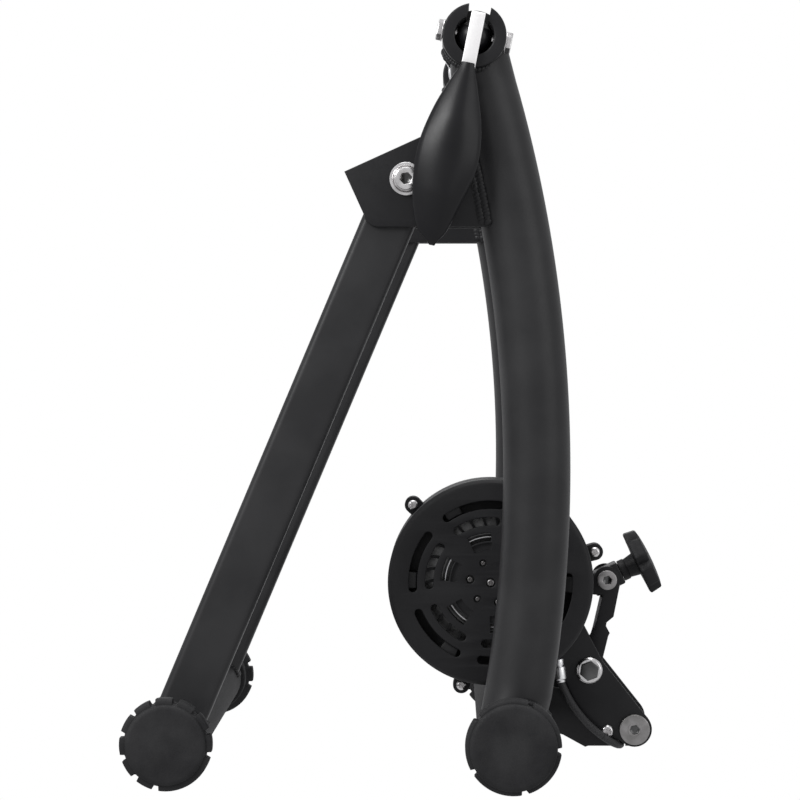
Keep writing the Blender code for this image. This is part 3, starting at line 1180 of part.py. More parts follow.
def shifter():
    """Handlebar shifter at the cable's far end: body, clamp ring and thumb lever."""
    body_outline = [(SHIFTER_X + x, SHIFTER_Y + y) for x, y in
                    rounded_box_outline(2 * SHIFTER_HALF_W, 2 * SHIFTER_HALF_L, 0.008, 4)]
    mesh = outline_mesh("shifter_body", [body_outline], 0, SHIFTER_H - 0.001)
    mesh.transform(Matrix.Rotation(-pi / 2, 4, "X"))
    low = min(v.co.z for v in mesh.vertices)
    mesh.transform(Matrix.Translation((0, 0, 0.0001 - low)))
    fix_normals(mesh)
    add_mesh("shifter_body", mesh, BLACK_PLASTIC, "trainer")
    lever_low = SHIFTER_H + CLEAR - 0.0009
    outline = ([(SHIFTER_X + 0.0075, SHIFTER_Y + 0.004)] + arc(SHIFTER_X, SHIFTER_Y, 0.0085, radians(28),
                                                               radians(332), 12)
               + [(SHIFTER_X + 0.0075, SHIFTER_Y - 0.004), (SHIFTER_X + 0.0200, SHIFTER_Y - 0.0060),
                  (SHIFTER_X + 0.0270, SHIFTER_Y - 0.0040), (SHIFTER_X + 0.0280, SHIFTER_Y),
                  (SHIFTER_X + 0.0270, SHIFTER_Y + 0.0040), (SHIFTER_X + 0.0200, SHIFTER_Y + 0.0050)])
    flat = outline_mesh("shift_lever", [outline], -0.0025, 0.0025)
    flat.transform(Matrix.Translation((0, 0, lever_low + 0.0025)) @ Matrix.Rotation(-pi / 2, 4, "X"))
    fix_normals(flat)
    add_mesh("shift_lever", flat, BLACK_PLASTIC, "shift_lever")


for build in (rear_base, arches, feet, leg_brackets, hinge_bolts, legs, front_base, bushes, hub_clamps,
              lever_bolt, lever, grip, hub_cups, yoke, cover, back_housing, roller_and_bearings,
              brake_rotor, magnet_carrier, mount_bracket, tension_parts, cable_parts, shifter):
    build()
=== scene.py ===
# %% [markdown]
# # Folding bicycle trainer
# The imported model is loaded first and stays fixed. Every piece below is made in the same frame, in
# metres: the wheel's axle lies along Y, the clamp lever is at -Y, and the folding legs are at -X. Sizes
# repeat the model's own, counted from FRAME_SHIFT to the left of the origin, and put() shifts them back.
# A seated piece keeps SEAT_GAP to what carries it, and a coped tube end goes TUCK under the surface that
# it meets. Shapes that are joined into one piece overlap by OVERLAP.

# %% Load the frame
from math import asin, atan2, cos, hypot, pi, radians, sin, sqrt

import bmesh
import bpy
from mathutils import Matrix, Vector


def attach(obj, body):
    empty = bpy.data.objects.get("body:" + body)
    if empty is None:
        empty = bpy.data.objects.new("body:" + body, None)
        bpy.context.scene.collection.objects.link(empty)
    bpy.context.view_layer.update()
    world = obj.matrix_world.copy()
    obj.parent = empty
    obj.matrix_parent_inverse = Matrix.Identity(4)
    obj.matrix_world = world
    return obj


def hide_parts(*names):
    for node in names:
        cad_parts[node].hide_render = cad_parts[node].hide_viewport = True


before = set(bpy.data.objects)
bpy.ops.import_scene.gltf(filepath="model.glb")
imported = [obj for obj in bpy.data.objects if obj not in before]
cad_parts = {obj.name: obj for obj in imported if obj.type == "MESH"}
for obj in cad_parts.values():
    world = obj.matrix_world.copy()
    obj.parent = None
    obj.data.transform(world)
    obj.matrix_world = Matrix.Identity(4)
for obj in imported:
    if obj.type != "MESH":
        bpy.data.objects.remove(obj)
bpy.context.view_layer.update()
FRAME_SHIFT = 0.0290
SEAT_GAP = 0.0003
TUCK = 0.0003
OVERLAP = 0.0001
print("frame loaded:", len(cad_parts), "nodes")

# %% [markdown]
# ## Camera
# The photograph is a side view from about two metres. Its vanishing point lies right of the middle and
# above it, so the camera looks along the axle and is turned a little to the left and down.

# %% Camera
CAMERA_BACK = 2.366
CAMERA_HEIGHT = 0.2722
FOCAL_PIXELS = 3526.0
PHOTO_PIXELS = 800
VANISHING_X, VANISHING_Y = 448.3, 343.4
camera_data = bpy.data.cameras.new("camera")
camera_data.sensor_width = 36.0
camera_data.lens = FOCAL_PIXELS / PHOTO_PIXELS * camera_data.sensor_width
camera = bpy.data.objects.new("camera", camera_data)
bpy.context.scene.collection.objects.link(camera)
turn_left = atan2(VANISHING_X - PHOTO_PIXELS / 2, FOCAL_PIXELS)
turn_down = atan2(PHOTO_PIXELS / 2 - VANISHING_Y, FOCAL_PIXELS)
camera.location = (FRAME_SHIFT, -CAMERA_BACK, CAMERA_HEIGHT)
camera.rotation_euler = (pi / 2 - turn_down, 0, turn_left)
bpy.context.scene.camera = camera
print("lens %.1f mm" % camera_data.lens)

# %% [markdown]
# ## Helpers for outlines and paths
# Most pieces are pressed plates, turned parts or bent tubes. A few small functions make their outlines:
# an arc, a circle, a profile with its corners rounded off, and a smooth path through a handful of points.


# %% Outlines and paths
CURVE_STEPS = 12


def arc(x, z, radius, start, end, count):
    turns = [start + (end - start) * i / count for i in range(count + 1)]
    return [(x + radius * cos(turn), z + radius * sin(turn)) for turn in turns]


def circle(x, z, radius, count=48):
    return arc(x, z, radius, 0, 2 * pi, count)[:-1]


def rounded(profile, radius, steps=4, closed=False):
    """The same outline with each corner replaced by a small arc-like curve."""
    result = []
    count = len(profile)
    for i, point in enumerate(profile):
        if not closed and i in (0, count - 1):
            result.append(point)
            continue
        here = Vector(point)
        before = Vector(profile[i - 1]) - here
        after = Vector(profile[(i + 1) % count]) - here
        if before.length < 1e-9 or after.length < 1e-9:
            continue
        reach = min(radius, before.length * 0.45, after.length * 0.45)
        first = here + before.normalized() * reach
        last = here + after.normalized() * reach
        for k in range(steps + 1):
            t = k / steps
            result.append(tuple((1 - t) ** 2 * first + 2 * t * (1 - t) * here + t * t * last))
    return result


def smooth_path(route, spacing):
    """Evenly spaced points on a smooth curve through the route's own points."""
    dense = []
    for i in range(len(route) - 1):
        before, here = Vector(route[max(i - 1, 0)]), Vector(route[i])
        there, after = Vector(route[i + 1]), Vector(route[min(i + 2, len(route) - 1)])
        bend = 2 * before - 5 * here + 4 * there - after
        twist = 3 * here - before - 3 * there + after
        for step in range(CURVE_STEPS):
            t = step / CURVE_STEPS
            dense.append(0.5 * (2 * here + (there - before) * t + bend * t ** 2 + twist * t ** 3))
    dense.append(Vector(route[-1]))
    total = sum((b - a).length for a, b in zip(dense, dense[1:]))
    count = max(2, round(total / spacing))
    points, walked, target = [dense[0]], 0.0, total / count
    for a, b in zip(dense, dense[1:]):
        length = (b - a).length
        while walked + length >= target - 1e-9 and len(points) < count:
            points.append(a.lerp(b, (target - walked) / length))
            target += total / count
        walked += length
    return points + [dense[-1]]


# %% [markdown]
# ## Helpers for solids
# loft() bridges sections, lathe() turns a profile about an axis, and pressed() gives a flat outline its
# thickness and softly rounded edges. rod() and tube() are the two turned shapes that come back most
# often, and carved() cuts one solid out of another. Each returns a closed mesh in the frame's
# coordinates.


# %% Solids
MERGE = 0.000005
ON_THE_AXIS = 1e-7
CUT_EDGE = 0.0002


def mesh_from(shape, name, merge=0.0):
    if merge:
        bmesh.ops.remove_doubles(shape, verts=shape.verts, dist=merge)
    bmesh.ops.recalc_face_normals(shape, faces=shape.faces)
    mesh = bpy.data.meshes.new(name)
    shape.to_mesh(mesh)
    shape.free()
    return mesh


def loft(name, sections, closed=False):
    """Bridges rings of points. The ends are capped unless the loft closes on itself."""
    shape = bmesh.new()
    rings = [[shape.verts.new(point) for point in section] for section in sections]
    pairs = list(zip(rings, rings[1:])) + ([(rings[-1], rings[0])] if closed else [])
    for first, second in pairs:
        for i in range(len(first)):
            j = (i + 1) % len(first)
            shape.faces.new((first[i], first[j], second[j], second[i]))
    if not closed:
        for end in (rings[0], rings[-1]):
            shape.faces.new(end)
    return mesh_from(shape, name)


def lathe(name, profile, place, steps=72):
    """Turns a (radius, height) profile about the axis of a placing matrix, whose own Z is the axis."""
    shape = bmesh.new()
    turns = [2 * pi * k / steps for k in range(steps)]
    columns = []
    for radius, height in profile:
        if radius < ON_THE_AXIS:
            columns.append([shape.verts.new(place @ Vector((0, 0, height)))] * steps)
        else:
            spots = [Vector((radius * cos(turn), radius * sin(turn), height)) for turn in turns]
            columns.append([shape.verts.new(place @ spot) for spot in spots])
    pairs = list(zip(columns, columns[1:]))
    if profile[0][0] > ON_THE_AXIS and profile[-1][0] > ON_THE_AXIS:
        pairs.append((columns[-1], columns[0]))
    for first, second in pairs:
        for k in range(steps):
            j = (k + 1) % steps
            corners = list(dict.fromkeys((first[k], first[j], second[j], second[k])))
            if len(corners) > 2:
                shape.faces.new(corners)
    return mesh_from(shape, name)


def along_y(x, z):
    """Places a turned part on an axis parallel to the wheel's axle, with heights read as Y."""
    return Matrix.Translation((x, 0, z)) @ Matrix.Rotation(-pi / 2, 4, "X")


def along(start, direction):
    return Matrix.Translation(start) @ Vector(direction).to_track_quat("Z", "Y").to_matrix().to_4x4()


def rod(name, radius, low, high, place, steps=48, edge=0.0):
    """A round bar between two heights on its axis, with rounded rims where an edge is given."""
    profile = [(0, low), (radius, low), (radius, high), (0, high)]
    return lathe(name, rounded(profile, edge) if edge else profile, place, steps)


def tube(name, inner, outer, low, high, place, edge=0.0005, steps=48, soft=2):
    """A hollow round bar whose rims are softly rounded."""
    profile = rounded([(inner, low), (outer, low), (outer, high), (inner, high)], edge, soft, True)
    return lathe(name, profile, place, steps)


def in_scene(name, data):
    item = bpy.data.objects.new(name, data)
    bpy.context.scene.collection.objects.link(item)
    return item


def settled(item, *helpers):
    """The object's mesh with its modifiers applied. The object and its helpers are then removed."""
    graph = bpy.context.evaluated_depsgraph_get()
    graph.update()
    mesh = bpy.data.meshes.new_from_object(item.evaluated_get(graph))
    for used in (item, *helpers):
        bpy.data.objects.remove(used, do_unlink=True)
    return mesh


def pressed(name, outlines, low, high, edge=0.0004):
    """A plate cut to an outline with holes, between two Y values, with rounded edges."""
    curve = bpy.data.curves.new(name, "CURVE")
    curve.dimensions = "2D"
    curve.fill_mode = "BOTH"
    curve.bevel_depth = edge
    curve.bevel_resolution = 2
    curve.offset = -edge
    curve.extrude = abs(high - low) / 2 - edge
    for outline in outlines:
        spline = curve.splines.new("POLY")
        spline.points.add(len(outline) - 1)
        for point, (x, z) in zip(spline.points, outline):
            point.co = (x, z, 0, 1)
        spline.use_cyclic_u = True
    mesh = settled(in_scene(name, curve))
    mesh.transform(Matrix.Translation((0, (low + high) / 2, 0)) @ Matrix.Rotation(pi / 2, 4, "X"))
    shape = bmesh.new()
    shape.from_mesh(mesh)
    bpy.data.meshes.remove(mesh)
    return mesh_from(shape, name, MERGE)


def joined(name, meshes):
    """Several closed solids in one mesh."""
    shape = bmesh.new()
    for mesh in meshes:
        shape.from_mesh(mesh)
        bpy.data.meshes.remove(mesh)
    mesh = bpy.data.meshes.new(name)
    shape.to_mesh(mesh)
    shape.free()
    return mesh


def carved(name, mesh, cutters):
    """The mesh after exact Booleans that take each cutter out of it."""
    item = in_scene(name, mesh)
    tools = [in_scene("tool", cutter) for cutter in cutters]
    for tool in tools:
        modifier = item.modifiers.new("cut", "BOOLEAN")
        modifier.operation = "DIFFERENCE"
        modifier.solver = "EXACT"
        modifier.object = tool
    result = settled(item, *tools)
    result.name = name
    return result


def box_mesh(name, size, place):
    shape = bmesh.new()
    bmesh.ops.create_cube(shape, size=1.0, matrix=place @ Matrix.Diagonal((*size, 1.0)))
    return mesh_from(shape, name)


# %% [markdown]
# ## Putting a piece in place
# put() shades a finished mesh, moves it to the frame's origin, gives it its finish, hides the plain node
# that it stands for and lets it ride on its moving body.


# %% Put a piece in place
def put(name, mesh, material, body, nodes=(), angle=32):
    mesh.transform(Matrix.Translation((FRAME_SHIFT, 0, 0)))
    mesh.shade_smooth()
    mesh.set_sharp_from_angle(angle=radians(angle))
    mesh.materials.clear()
    mesh.materials.append(material)
    piece = in_scene(name, mesh)
    if nodes:
        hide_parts(*nodes)
    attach(piece, body)
    print("%s: %d faces, on %s" % (name, len(mesh.polygons), body))
    return piece


# %% [markdown]
# ## Finishes
# The real trainer is almost all black, in a few ways: satin powder coat on the tubes, a darker coat on
# the plates, moulded nylon on the brake and knobs, smoother plastic on the grip and matt rubber on the
# feet. Each is a Principled shader with its grain from noise on Object coordinates, so the grain stays
# put on every piece. The base tubes are seen at a grazing angle, where a coat shines most, so theirs has
# less gloss. Bright parts are zinc plate, etched steel or aluminium.


def new_finish(name):
    material = bpy.data.materials.new(name)
    material.use_nodes = True
    nodes = material.node_tree.nodes
    place = nodes.new("ShaderNodeTexCoord")
    return material, material.node_tree, nodes["Principled BSDF"], place.outputs["Object"]


def noise(tree, place, scale, detail=3.0, stretch=(1, 1, 1)):
    mapping = tree.nodes.new("ShaderNodeMapping")
    mapping.inputs["Scale"].default_value = stretch
    tree.links.new(place, mapping.inputs["Vector"])
    texture = tree.nodes.new("ShaderNodeTexNoise")
    texture.inputs["Scale"].default_value = scale
    texture.inputs["Detail"].default_value = detail
    tree.links.new(mapping.outputs["Vector"], texture.inputs["Vector"])
    return texture.outputs["Fac"]


def spread(tree, value, low, high, start=0.35, end=0.65):
    """Maps a noise value onto a range."""
    step = tree.nodes.new("ShaderNodeMapRange")
    step.inputs["From Min"].default_value = start
    step.inputs["From Max"].default_value = end
    step.inputs["To Min"].default_value = low
    step.inputs["To Max"].default_value = high
    tree.links.new(value, step.inputs["Value"])
    return step.outputs["Result"]


def blend_colours(tree, share, first, second):
    mix = tree.nodes.new("ShaderNodeMix")
    mix.data_type = "RGBA"
    mix.inputs["A"].default_value = (*first, 1.0)
    mix.inputs["B"].default_value = (*second, 1.0)
    tree.links.new(share, mix.inputs["Factor"])
    return mix.outputs["Result"]


def raise_grain(tree, shader, height, distance, strength=1.0):
    bump = tree.nodes.new("ShaderNodeBump")
    bump.inputs["Distance"].default_value = distance
    bump.inputs["Strength"].default_value = strength
    tree.links.new(height, bump.inputs["Height"])
    tree.links.new(bump.outputs["Normal"], shader.inputs["Normal"])


def grained(name, dark, pale, rough, grain_scale, grain_depth, patch_scale=30, metallic=0.0,
            stretch=(1, 1, 1), gloss=0.25):
    """A finish whose colour drifts in soft patches and whose surface has a fine grain."""
    material, tree, shader, place = new_finish(name)
    patches = noise(tree, place, patch_scale, 4.0)
    tree.links.new(blend_colours(tree, spread(tree, patches, 0, 1), dark, pale), shader.inputs["Base Color"])
    grain = noise(tree, place, grain_scale, 2.0, stretch)
    tree.links.new(spread(tree, grain, rough[0], rough[1], 0.3, 0.7), shader.inputs["Roughness"])
    shader.inputs["Metallic"].default_value = metallic
    shader.inputs["Specular IOR Level"].default_value = gloss
    raise_grain(tree, shader, grain, grain_depth)
    return material


# The powder coat also goes on the magnets inside the brake, where it is painted shade.
POWDER_AND_MAGNET_SHADE = grained("powder_coat_and_magnet_shade", (0.017, 0.017, 0.018), (0.024, 0.024, 0.025), (0.36, 0.46), 900, 0.00003)
BASE_PAINT = grained("base_tube_paint", (0.012, 0.012, 0.013), (0.017, 0.017, 0.018), (0.46, 0.56), 900,
                     0.00003, gloss=0.04)
PLATE = grained("plate_paint", (0.008, 0.008, 0.009), (0.012, 0.012, 0.013), (0.34, 0.46), 900, 0.00003)
WELD = grained("weld_paint", (0.008, 0.008, 0.009), (0.014, 0.014, 0.015), (0.34, 0.48), 500, 0.0001)
NYLON = grained("moulded_nylon", (0.007, 0.007, 0.008), (0.011, 0.011, 0.012), (0.42, 0.56), 1300, 0.00004)
GRIP = grained("grip_plastic", (0.005, 0.005, 0.006), (0.008, 0.008, 0.009), (0.28, 0.36), 1500, 0.00002)
RUBBER = grained("foot_rubber", (0.009, 0.009, 0.010), (0.020, 0.020, 0.021), (0.55, 0.80), 1100, 0.00006, 45)
ZINC = grained("zinc_plate", (0.60, 0.59, 0.59), (0.84, 0.83, 0.83), (0.18, 0.30), 1600, 0.00001, 160, 1.0)
ALUMINIUM = grained("turned_aluminium", (0.78, 0.78, 0.79), (0.90, 0.90, 0.91), (0.26, 0.40), 1200, 0.00001,
                    70, 1.0, (1, 6, 1))
LEVER = grained("lever_aluminium", (0.86, 0.85, 0.85), (0.92, 0.91, 0.91), (0.34, 0.46), 900, 0.00001, 40,
                0.45)
# The oiled steel also lines the floors of the screw sockets, where it is painted shade.
STEEL_AND_SOCKET_SHADE = grained("oiled_steel_and_socket_shade", (0.08, 0.08, 0.08), (0.14, 0.14, 0.14), (0.26, 0.40), 1000, 0.00002, 60, 1.0)
# The etched steel also goes on the small screws in the cover's pockets, where its darker tone is painted
# shade.
ETCHED_AND_POCKET_SHADE = grained("etched_steel_and_pocket_shade", (0.24, 0.235, 0.23), (0.36, 0.35, 0.35), (0.30, 0.46), 1000, 0.00002, 120,
                 1.0)

# %% [markdown]
# ## The cable's finish
# The housing is a braided sleeve. The cable is a tube whose braid follows it, so the pattern reads the
# tube's own UV map: two wave textures that slant opposite ways, multiplied, give the crossing strands.

# %% Cable finish
BRAID_TURNS = 5.0


def braided():
    material, tree, shader, _ = new_finish("cable_housing")
    uv = tree.nodes.new("ShaderNodeUVMap")
    waves = []
    for slant in (1, -1):
        mapping = tree.nodes.new("ShaderNodeMapping")
        mapping.inputs["Rotation"].default_value = (0, 0, slant * radians(45))
        mapping.inputs["Scale"].default_value = (BRAID_TURNS, BRAID_TURNS, 1)
        tree.links.new(uv.outputs["UV"], mapping.inputs["Vector"])
        wave = tree.nodes.new("ShaderNodeTexWave")
        wave.inputs["Scale"].default_value = 1.0
        wave.inputs["Distortion"].default_value = 0.6
        tree.links.new(mapping.outputs["Vector"], wave.inputs["Vector"])
        waves.append(wave.outputs["Fac"])
    weave = tree.nodes.new("ShaderNodeMath")
    weave.operation = "MULTIPLY"
    tree.links.new(waves[0], weave.inputs[0])
    tree.links.new(waves[1], weave.inputs[1])
    colour = blend_colours(tree, weave.outputs["Value"], (0.010, 0.010, 0.011), (0.034, 0.034, 0.036))
    tree.links.new(colour, shader.inputs["Base Color"])
    tree.links.new(spread(tree, weave.outputs["Value"], 0.55, 0.35, 0.0, 1.0), shader.inputs["Roughness"])
    raise_grain(tree, shader, weave.outputs["Value"], 0.0002)
    return material


CABLE = braided()
print("cable finish:", CABLE.name)

# %% [markdown]
# ## The free shift cable
# It leaves the unit below the pivot, slips under the mounting bracket and runs along the floor. The
# length that a rider would lead to the handlebar is wound into a neat coil behind the bracket: in along
# the bottom layer, out along the next, and so on, a cable's width apart. It ends in the handlebar
# shifter.

# %% Cable route and tube
CABLE_R = 0.0025
CABLE_Y = -0.0512
FREE_ROUTE = [(0.1020, -0.0512, 0.0138), (0.1075, -0.0503, 0.0101), (0.1118, -0.0458, 0.0080),
              (0.1136, -0.0398, 0.0073), (0.1139, -0.0300, 0.0067), (0.1136, -0.0100, 0.0050),
              (0.1128, 0.0150, 0.0032), (0.1108, 0.0450, 0.0026), (0.1090, 0.0750, 0.0026),
              (0.1120, 0.1100, 0.0026), (0.1195, 0.1400, 0.0026), (0.1248, 0.1640, 0.0026),
              (0.1264, 0.1866, 0.0026)]
TAIL_ROUTE = [(0.0640, 0.1960, 0.0176), (0.0668, 0.1868, 0.0172), (0.0712, 0.1796, 0.0164),
              (0.0757, 0.1740, 0.0150), (0.0785, 0.1690, 0.0131), (0.0798, 0.1658, 0.0122),
              (0.0800, 0.1627, 0.0120)]
COIL_X, COIL_Y = 0.0952, 0.2050
COIL_OUT, COIL_IN = 0.0312, 0.0210
COIL_LAYERS, LAYER_TURNS = 4, 2
LAYER = 0.0051
TURN_STEPS = 28
FLOOR_GAP = 0.0001
LEAVE_COIL = radians(178)
CABLE_STEP = 0.0035


def coil_points():
    """Layers of turns, each joined to the next by an eighth of a turn. The cable leaves from the last one."""
    points = []
    angle = 0.0
    pitch = (COIL_OUT - COIL_IN) / LAYER_TURNS
    for layer in range(COIL_LAYERS):
        inwards = layer % 2 == 0
        start, end = (COIL_OUT, COIL_IN) if inwards else (COIL_IN, COIL_OUT)
        for step in range(LAYER_TURNS * TURN_STEPS):
            radius = start + (-pitch if inwards else pitch) * step / TURN_STEPS
            points.append((radius, angle, CABLE_R + FLOOR_GAP + LAYER * layer))
            angle += 2 * pi / TURN_STEPS
        if layer < COIL_LAYERS - 1:
            climb = TURN_STEPS // 8
            for step in range(climb):
                rise = (1 - cos(pi * step / climb)) / 2
                points.append((end, angle, CABLE_R + FLOOR_GAP + LAYER * (layer + rise)))
                angle += 2 * pi / TURN_STEPS
    angle %= 2 * pi
    while angle < LEAVE_COIL:
        points.append((COIL_OUT, angle, CABLE_R + FLOOR_GAP + LAYER * (COIL_LAYERS - 1)))
        angle += 2 * pi / TURN_STEPS
    return [(COIL_X + r * cos(a), COIL_Y + r * sin(a), z) for r, a, z in points]


def tube_with_uv(name, points, radius, sides=16):
    """A round tube whose UV map counts along it and round it in the same measure, for the braid."""
    shape = bmesh.new()
    layer = shape.loops.layers.uv.new("UVMap")
    frames = []
    side = None
    for i, point in enumerate(points):
        ahead = (Vector(points[min(i + 1, len(points) - 1)]) - Vector(points[max(i - 1, 0)])).normalized()
        if side is None:
            side = ahead.orthogonal().normalized()
        side = (side - ahead * side.dot(ahead)).normalized()
        frames.append((Vector(point), side, ahead.cross(side)))
    turns = [2 * pi * k / sides for k in range(sides)]
    rings, walked = [], [0.0]
    for i, (centre, u, v) in enumerate(frames):
        rings.append([shape.verts.new(centre + radius * (cos(turn) * u + sin(turn) * v)) for turn in turns])
        if i:
            walked.append(walked[-1] + (centre - frames[i - 1][0]).length)
    girth = 2 * pi * radius
    for i in range(len(rings) - 1):
        for k in range(sides):
            j = (k + 1) % sides
            face = shape.faces.new((rings[i][k], rings[i][j], rings[i + 1][j], rings[i + 1][k]))
            spots = ((k, i), (k + 1, i), (k + 1, i + 1), (k, i + 1))
            for loop, (around, ahead) in zip(face.loops, spots):
                loop[layer].uv = (around / sides, walked[ahead] / girth)
    for end in (rings[0], rings[-1]):
        shape.faces.new(end)
    return mesh_from(shape, name)


cable_line = smooth_path(FREE_ROUTE + coil_points() + TAIL_ROUTE, CABLE_STEP)
shift_cable = put("shift_cable_run", tube_with_uv("shift_cable_run", cable_line, CABLE_R), CABLE,
                  "main_frame", ("shift_cable", "cable_coil", "cable_tail"), angle=60)

# %% [markdown]
# ## The handlebar shifter
# A small moulded body with a thumb lever on top. It lies at the cable's end behind the foot, so it is
# kept simple, with the lever on its own body.

# %% Shifter
SHIFTER_X, SHIFTER_Y = 0.0800, 0.1400
SHIFTER_W, SHIFTER_L, SHIFTER_H, SHIFTER_CORNER = 0.0300, 0.0440, 0.0191, 0.008
ARM_LOW, ARM_HIGH, ARM_HUB_R = SHIFTER_H + SEAT_GAP, 0.0244, 0.0085
TO_FLOOR = Matrix.Rotation(-pi / 2, 4, "X")


def rounded_box(width, height, radius, count=6):
    outline = []
    for turn, (sx, sy) in enumerate(((1, 1), (-1, 1), (-1, -1), (1, -1))):
        outline += arc(sx * (width / 2 - radius), sy * (height / 2 - radius), radius, turn * pi / 2,
                       (turn + 1) * pi / 2, count)
    return outline


def flat_piece(name, outline, low, high, edge):
    """A plate that lies level, from an outline in X and Y."""
    mesh = pressed(name, [outline], -(high - low) / 2, (high - low) / 2, edge)
    mesh.transform(Matrix.Translation((SHIFTER_X, SHIFTER_Y, (low + high) / 2)) @ TO_FLOOR)
    return mesh


body_outline = rounded_box(SHIFTER_W, SHIFTER_L, SHIFTER_CORNER)
body_mesh = flat_piece("body", body_outline, FLOOR_GAP, SHIFTER_H, 0.0025)
shifter_body = put("handlebar_shifter", body_mesh, NYLON, "main_frame", ("shifter_body",))
lever_outline = (arc(0, 0, ARM_HUB_R, radians(28), radians(332), 20)
                 + [(0.0200, -0.0060), (0.0270, -0.0040), (0.0280, 0.0), (0.0270, 0.0040), (0.0200, 0.0050)])
arm_mesh = flat_piece("arm", rounded(lever_outline, 0.002, 3, True), ARM_LOW, ARM_HIGH, 0.0012)
shift_lever = put("shift_lever_arm", arm_mesh, NYLON, "shift_lever", ("shift_lever",))

# %% [markdown]
# ## Frame tubes
# The rear and front tubes are straight. Each arch is one tube bent to a single radius and coped onto the
# rear tube and the clamp sleeve, so its end rings are slid along to those surfaces.

# %% Base tubes and arches
REAR_X, REAR_Z = 0.0393, 0.0292
FRONT_X, FRONT_Z = -0.1718, 0.0283
REAR_HALF, FRONT_HALF = 0.255, 0.235
SIDE_Y = 0.168
AXLE_X, AXLE_Z = 0.0160, 0.4618
HINGE_X, HINGE_Z = -0.0261, 0.3740
TUBE_R = 0.021
SLEEVE_R = 0.01985
ARCH_RADIUS = 0.856
ARCH_TOP_X = AXLE_X - 0.004
ARCH_SIDES = 72
SWAGE_START, SWAGE_END = 0.4280, 0.4513
SWAGE_SHARE = 0.86
ARCH_STEPS = 64
ARCH_STOP = 0.0130
CAP_FACE = 0.0065
BASE_TUBES = [("rear_tube", REAR_X, REAR_Z, REAR_HALF, "main_frame", "rear_base_tube"),
              ("front_tube", FRONT_X, FRONT_Z, FRONT_HALF, "leg_frame", "front_base_tube")]

for tube_name, x, z, half, body, node in BASE_TUBES:
    end = half - CAP_FACE
    put(tube_name, rod(tube_name, TUBE_R, -end, end, along_y(x, z), 96), BASE_PAINT, body, (node,))


def arch_centre():
    low, high = Vector((REAR_X, REAR_Z)), Vector((ARCH_TOP_X, AXLE_Z))
    chord = high - low
    ahead = Vector((-chord.y, chord.x)).normalized()
    return (low + high) / 2 + ahead * sqrt(ARCH_RADIUS ** 2 - (chord.length / 2) ** 2)


ARCH_CENTRE = arch_centre()


def arch_x(z):
    return ARCH_CENTRE.x + sqrt(ARCH_RADIUS ** 2 - (z - ARCH_CENTRE.y) ** 2)


def arch_tube(name, side):
    start = asin((REAR_Z - ARCH_CENTRE.y) / ARCH_RADIUS)
    end = asin((AXLE_Z - ARCH_STOP - ARCH_CENTRE.y) / ARCH_RADIUS)
    sections = []
    for i in range(ARCH_STEPS + 1):
        turn = start + (end - start) * i / ARCH_STEPS
        height = ARCH_CENTRE.y + ARCH_RADIUS * sin(turn)
        swage = (height - SWAGE_START) / (SWAGE_END - SWAGE_START)
        share = 1 - (1 - SWAGE_SHARE) * min(max(swage, 0.0), 1.2)
        section = []
        for k in range(ARCH_SIDES):
            around = 2 * pi * k / ARCH_SIDES
            reach = ARCH_RADIUS + TUBE_R * (1 - share + share * cos(around))
            section.append(Vector((ARCH_CENTRE.x + reach * cos(turn), side * SIDE_Y + TUBE_R * sin(around),
                                   ARCH_CENTRE.y + reach * sin(turn))))
        sections.append(section)
    for ring, x, z, radius, above in ((sections[-1], AXLE_X, AXLE_Z, SLEEVE_R, -1),
                                      (sections[0], REAR_X, REAR_Z, TUBE_R, 1)):
        for point in ring:
            across = min(abs(point.x - x), radius - 2 * TUCK)
            point.z = z + above * sqrt((radius - TUCK) ** 2 - across ** 2)
    kept = [sections[0]] + [s for s in sections[1:-1] if min(p.z for p in s) > REAR_Z + TUBE_R
                            and max(p.z for p in s) < AXLE_Z - SLEEVE_R] + [sections[-1]]
    return loft(name, kept)


for arch_name, side, node in (("near_arch", -1, "near_arch_tube"), ("far_arch", 1, "far_arch_tube")):
    put(arch_name, arch_tube(arch_name, side), POWDER_AND_MAGNET_SHADE, "main_frame", (node,), angle=50)
print("arches at y = +/- %.3f" % SIDE_Y)

# %% [markdown]
# ## Weld beads
# A hand-laid weld is a row of overlapping scales. The beads repeat along a path, so Geometry Nodes lay
# them out: a curve is resampled at the scale's pitch, and a ball of slightly random size is set on each
# point and turned along the curve, half sunk in the tubes that it joins.


# %% Weld bead tree
def set_input(modifier, tree, name, value):
    for item in tree.interface.items_tree:
        if item.item_type == "SOCKET" and item.in_out == "INPUT" and item.name == name:
            modifier[item.identifier] = value


def new_tree(name, inputs):
    """An empty tree with its named inputs and its two end nodes."""
    tree = bpy.data.node_groups.new(name, "GeometryNodeTree")
    tree.interface.new_socket("Geometry", in_out="INPUT", socket_type="NodeSocketGeometry")
    for label, kind in inputs:
        tree.interface.new_socket(label, in_out="INPUT", socket_type="NodeSocket" + kind)
    tree.interface.new_socket("Finish", in_out="INPUT", socket_type="NodeSocketMaterial")
    tree.interface.new_socket("Geometry", in_out="OUTPUT", socket_type="NodeSocketGeometry")
    return tree, tree.nodes.new("NodeGroupInput"), tree.nodes.new("NodeGroupOutput")


def real_and_painted(tree, start, instances, end):
    """Makes the instances real and gives them the finish."""
    real = tree.nodes.new("GeometryNodeRealizeInstances")
    paint = tree.nodes.new("GeometryNodeSetMaterial")
    tree.links.new(instances, real.inputs["Geometry"])
    tree.links.new(real.outputs["Geometry"], paint.inputs["Geometry"])
    tree.links.new(start.outputs["Finish"], paint.inputs["Material"])
    tree.links.new(paint.outputs["Geometry"], end.inputs["Geometry"])


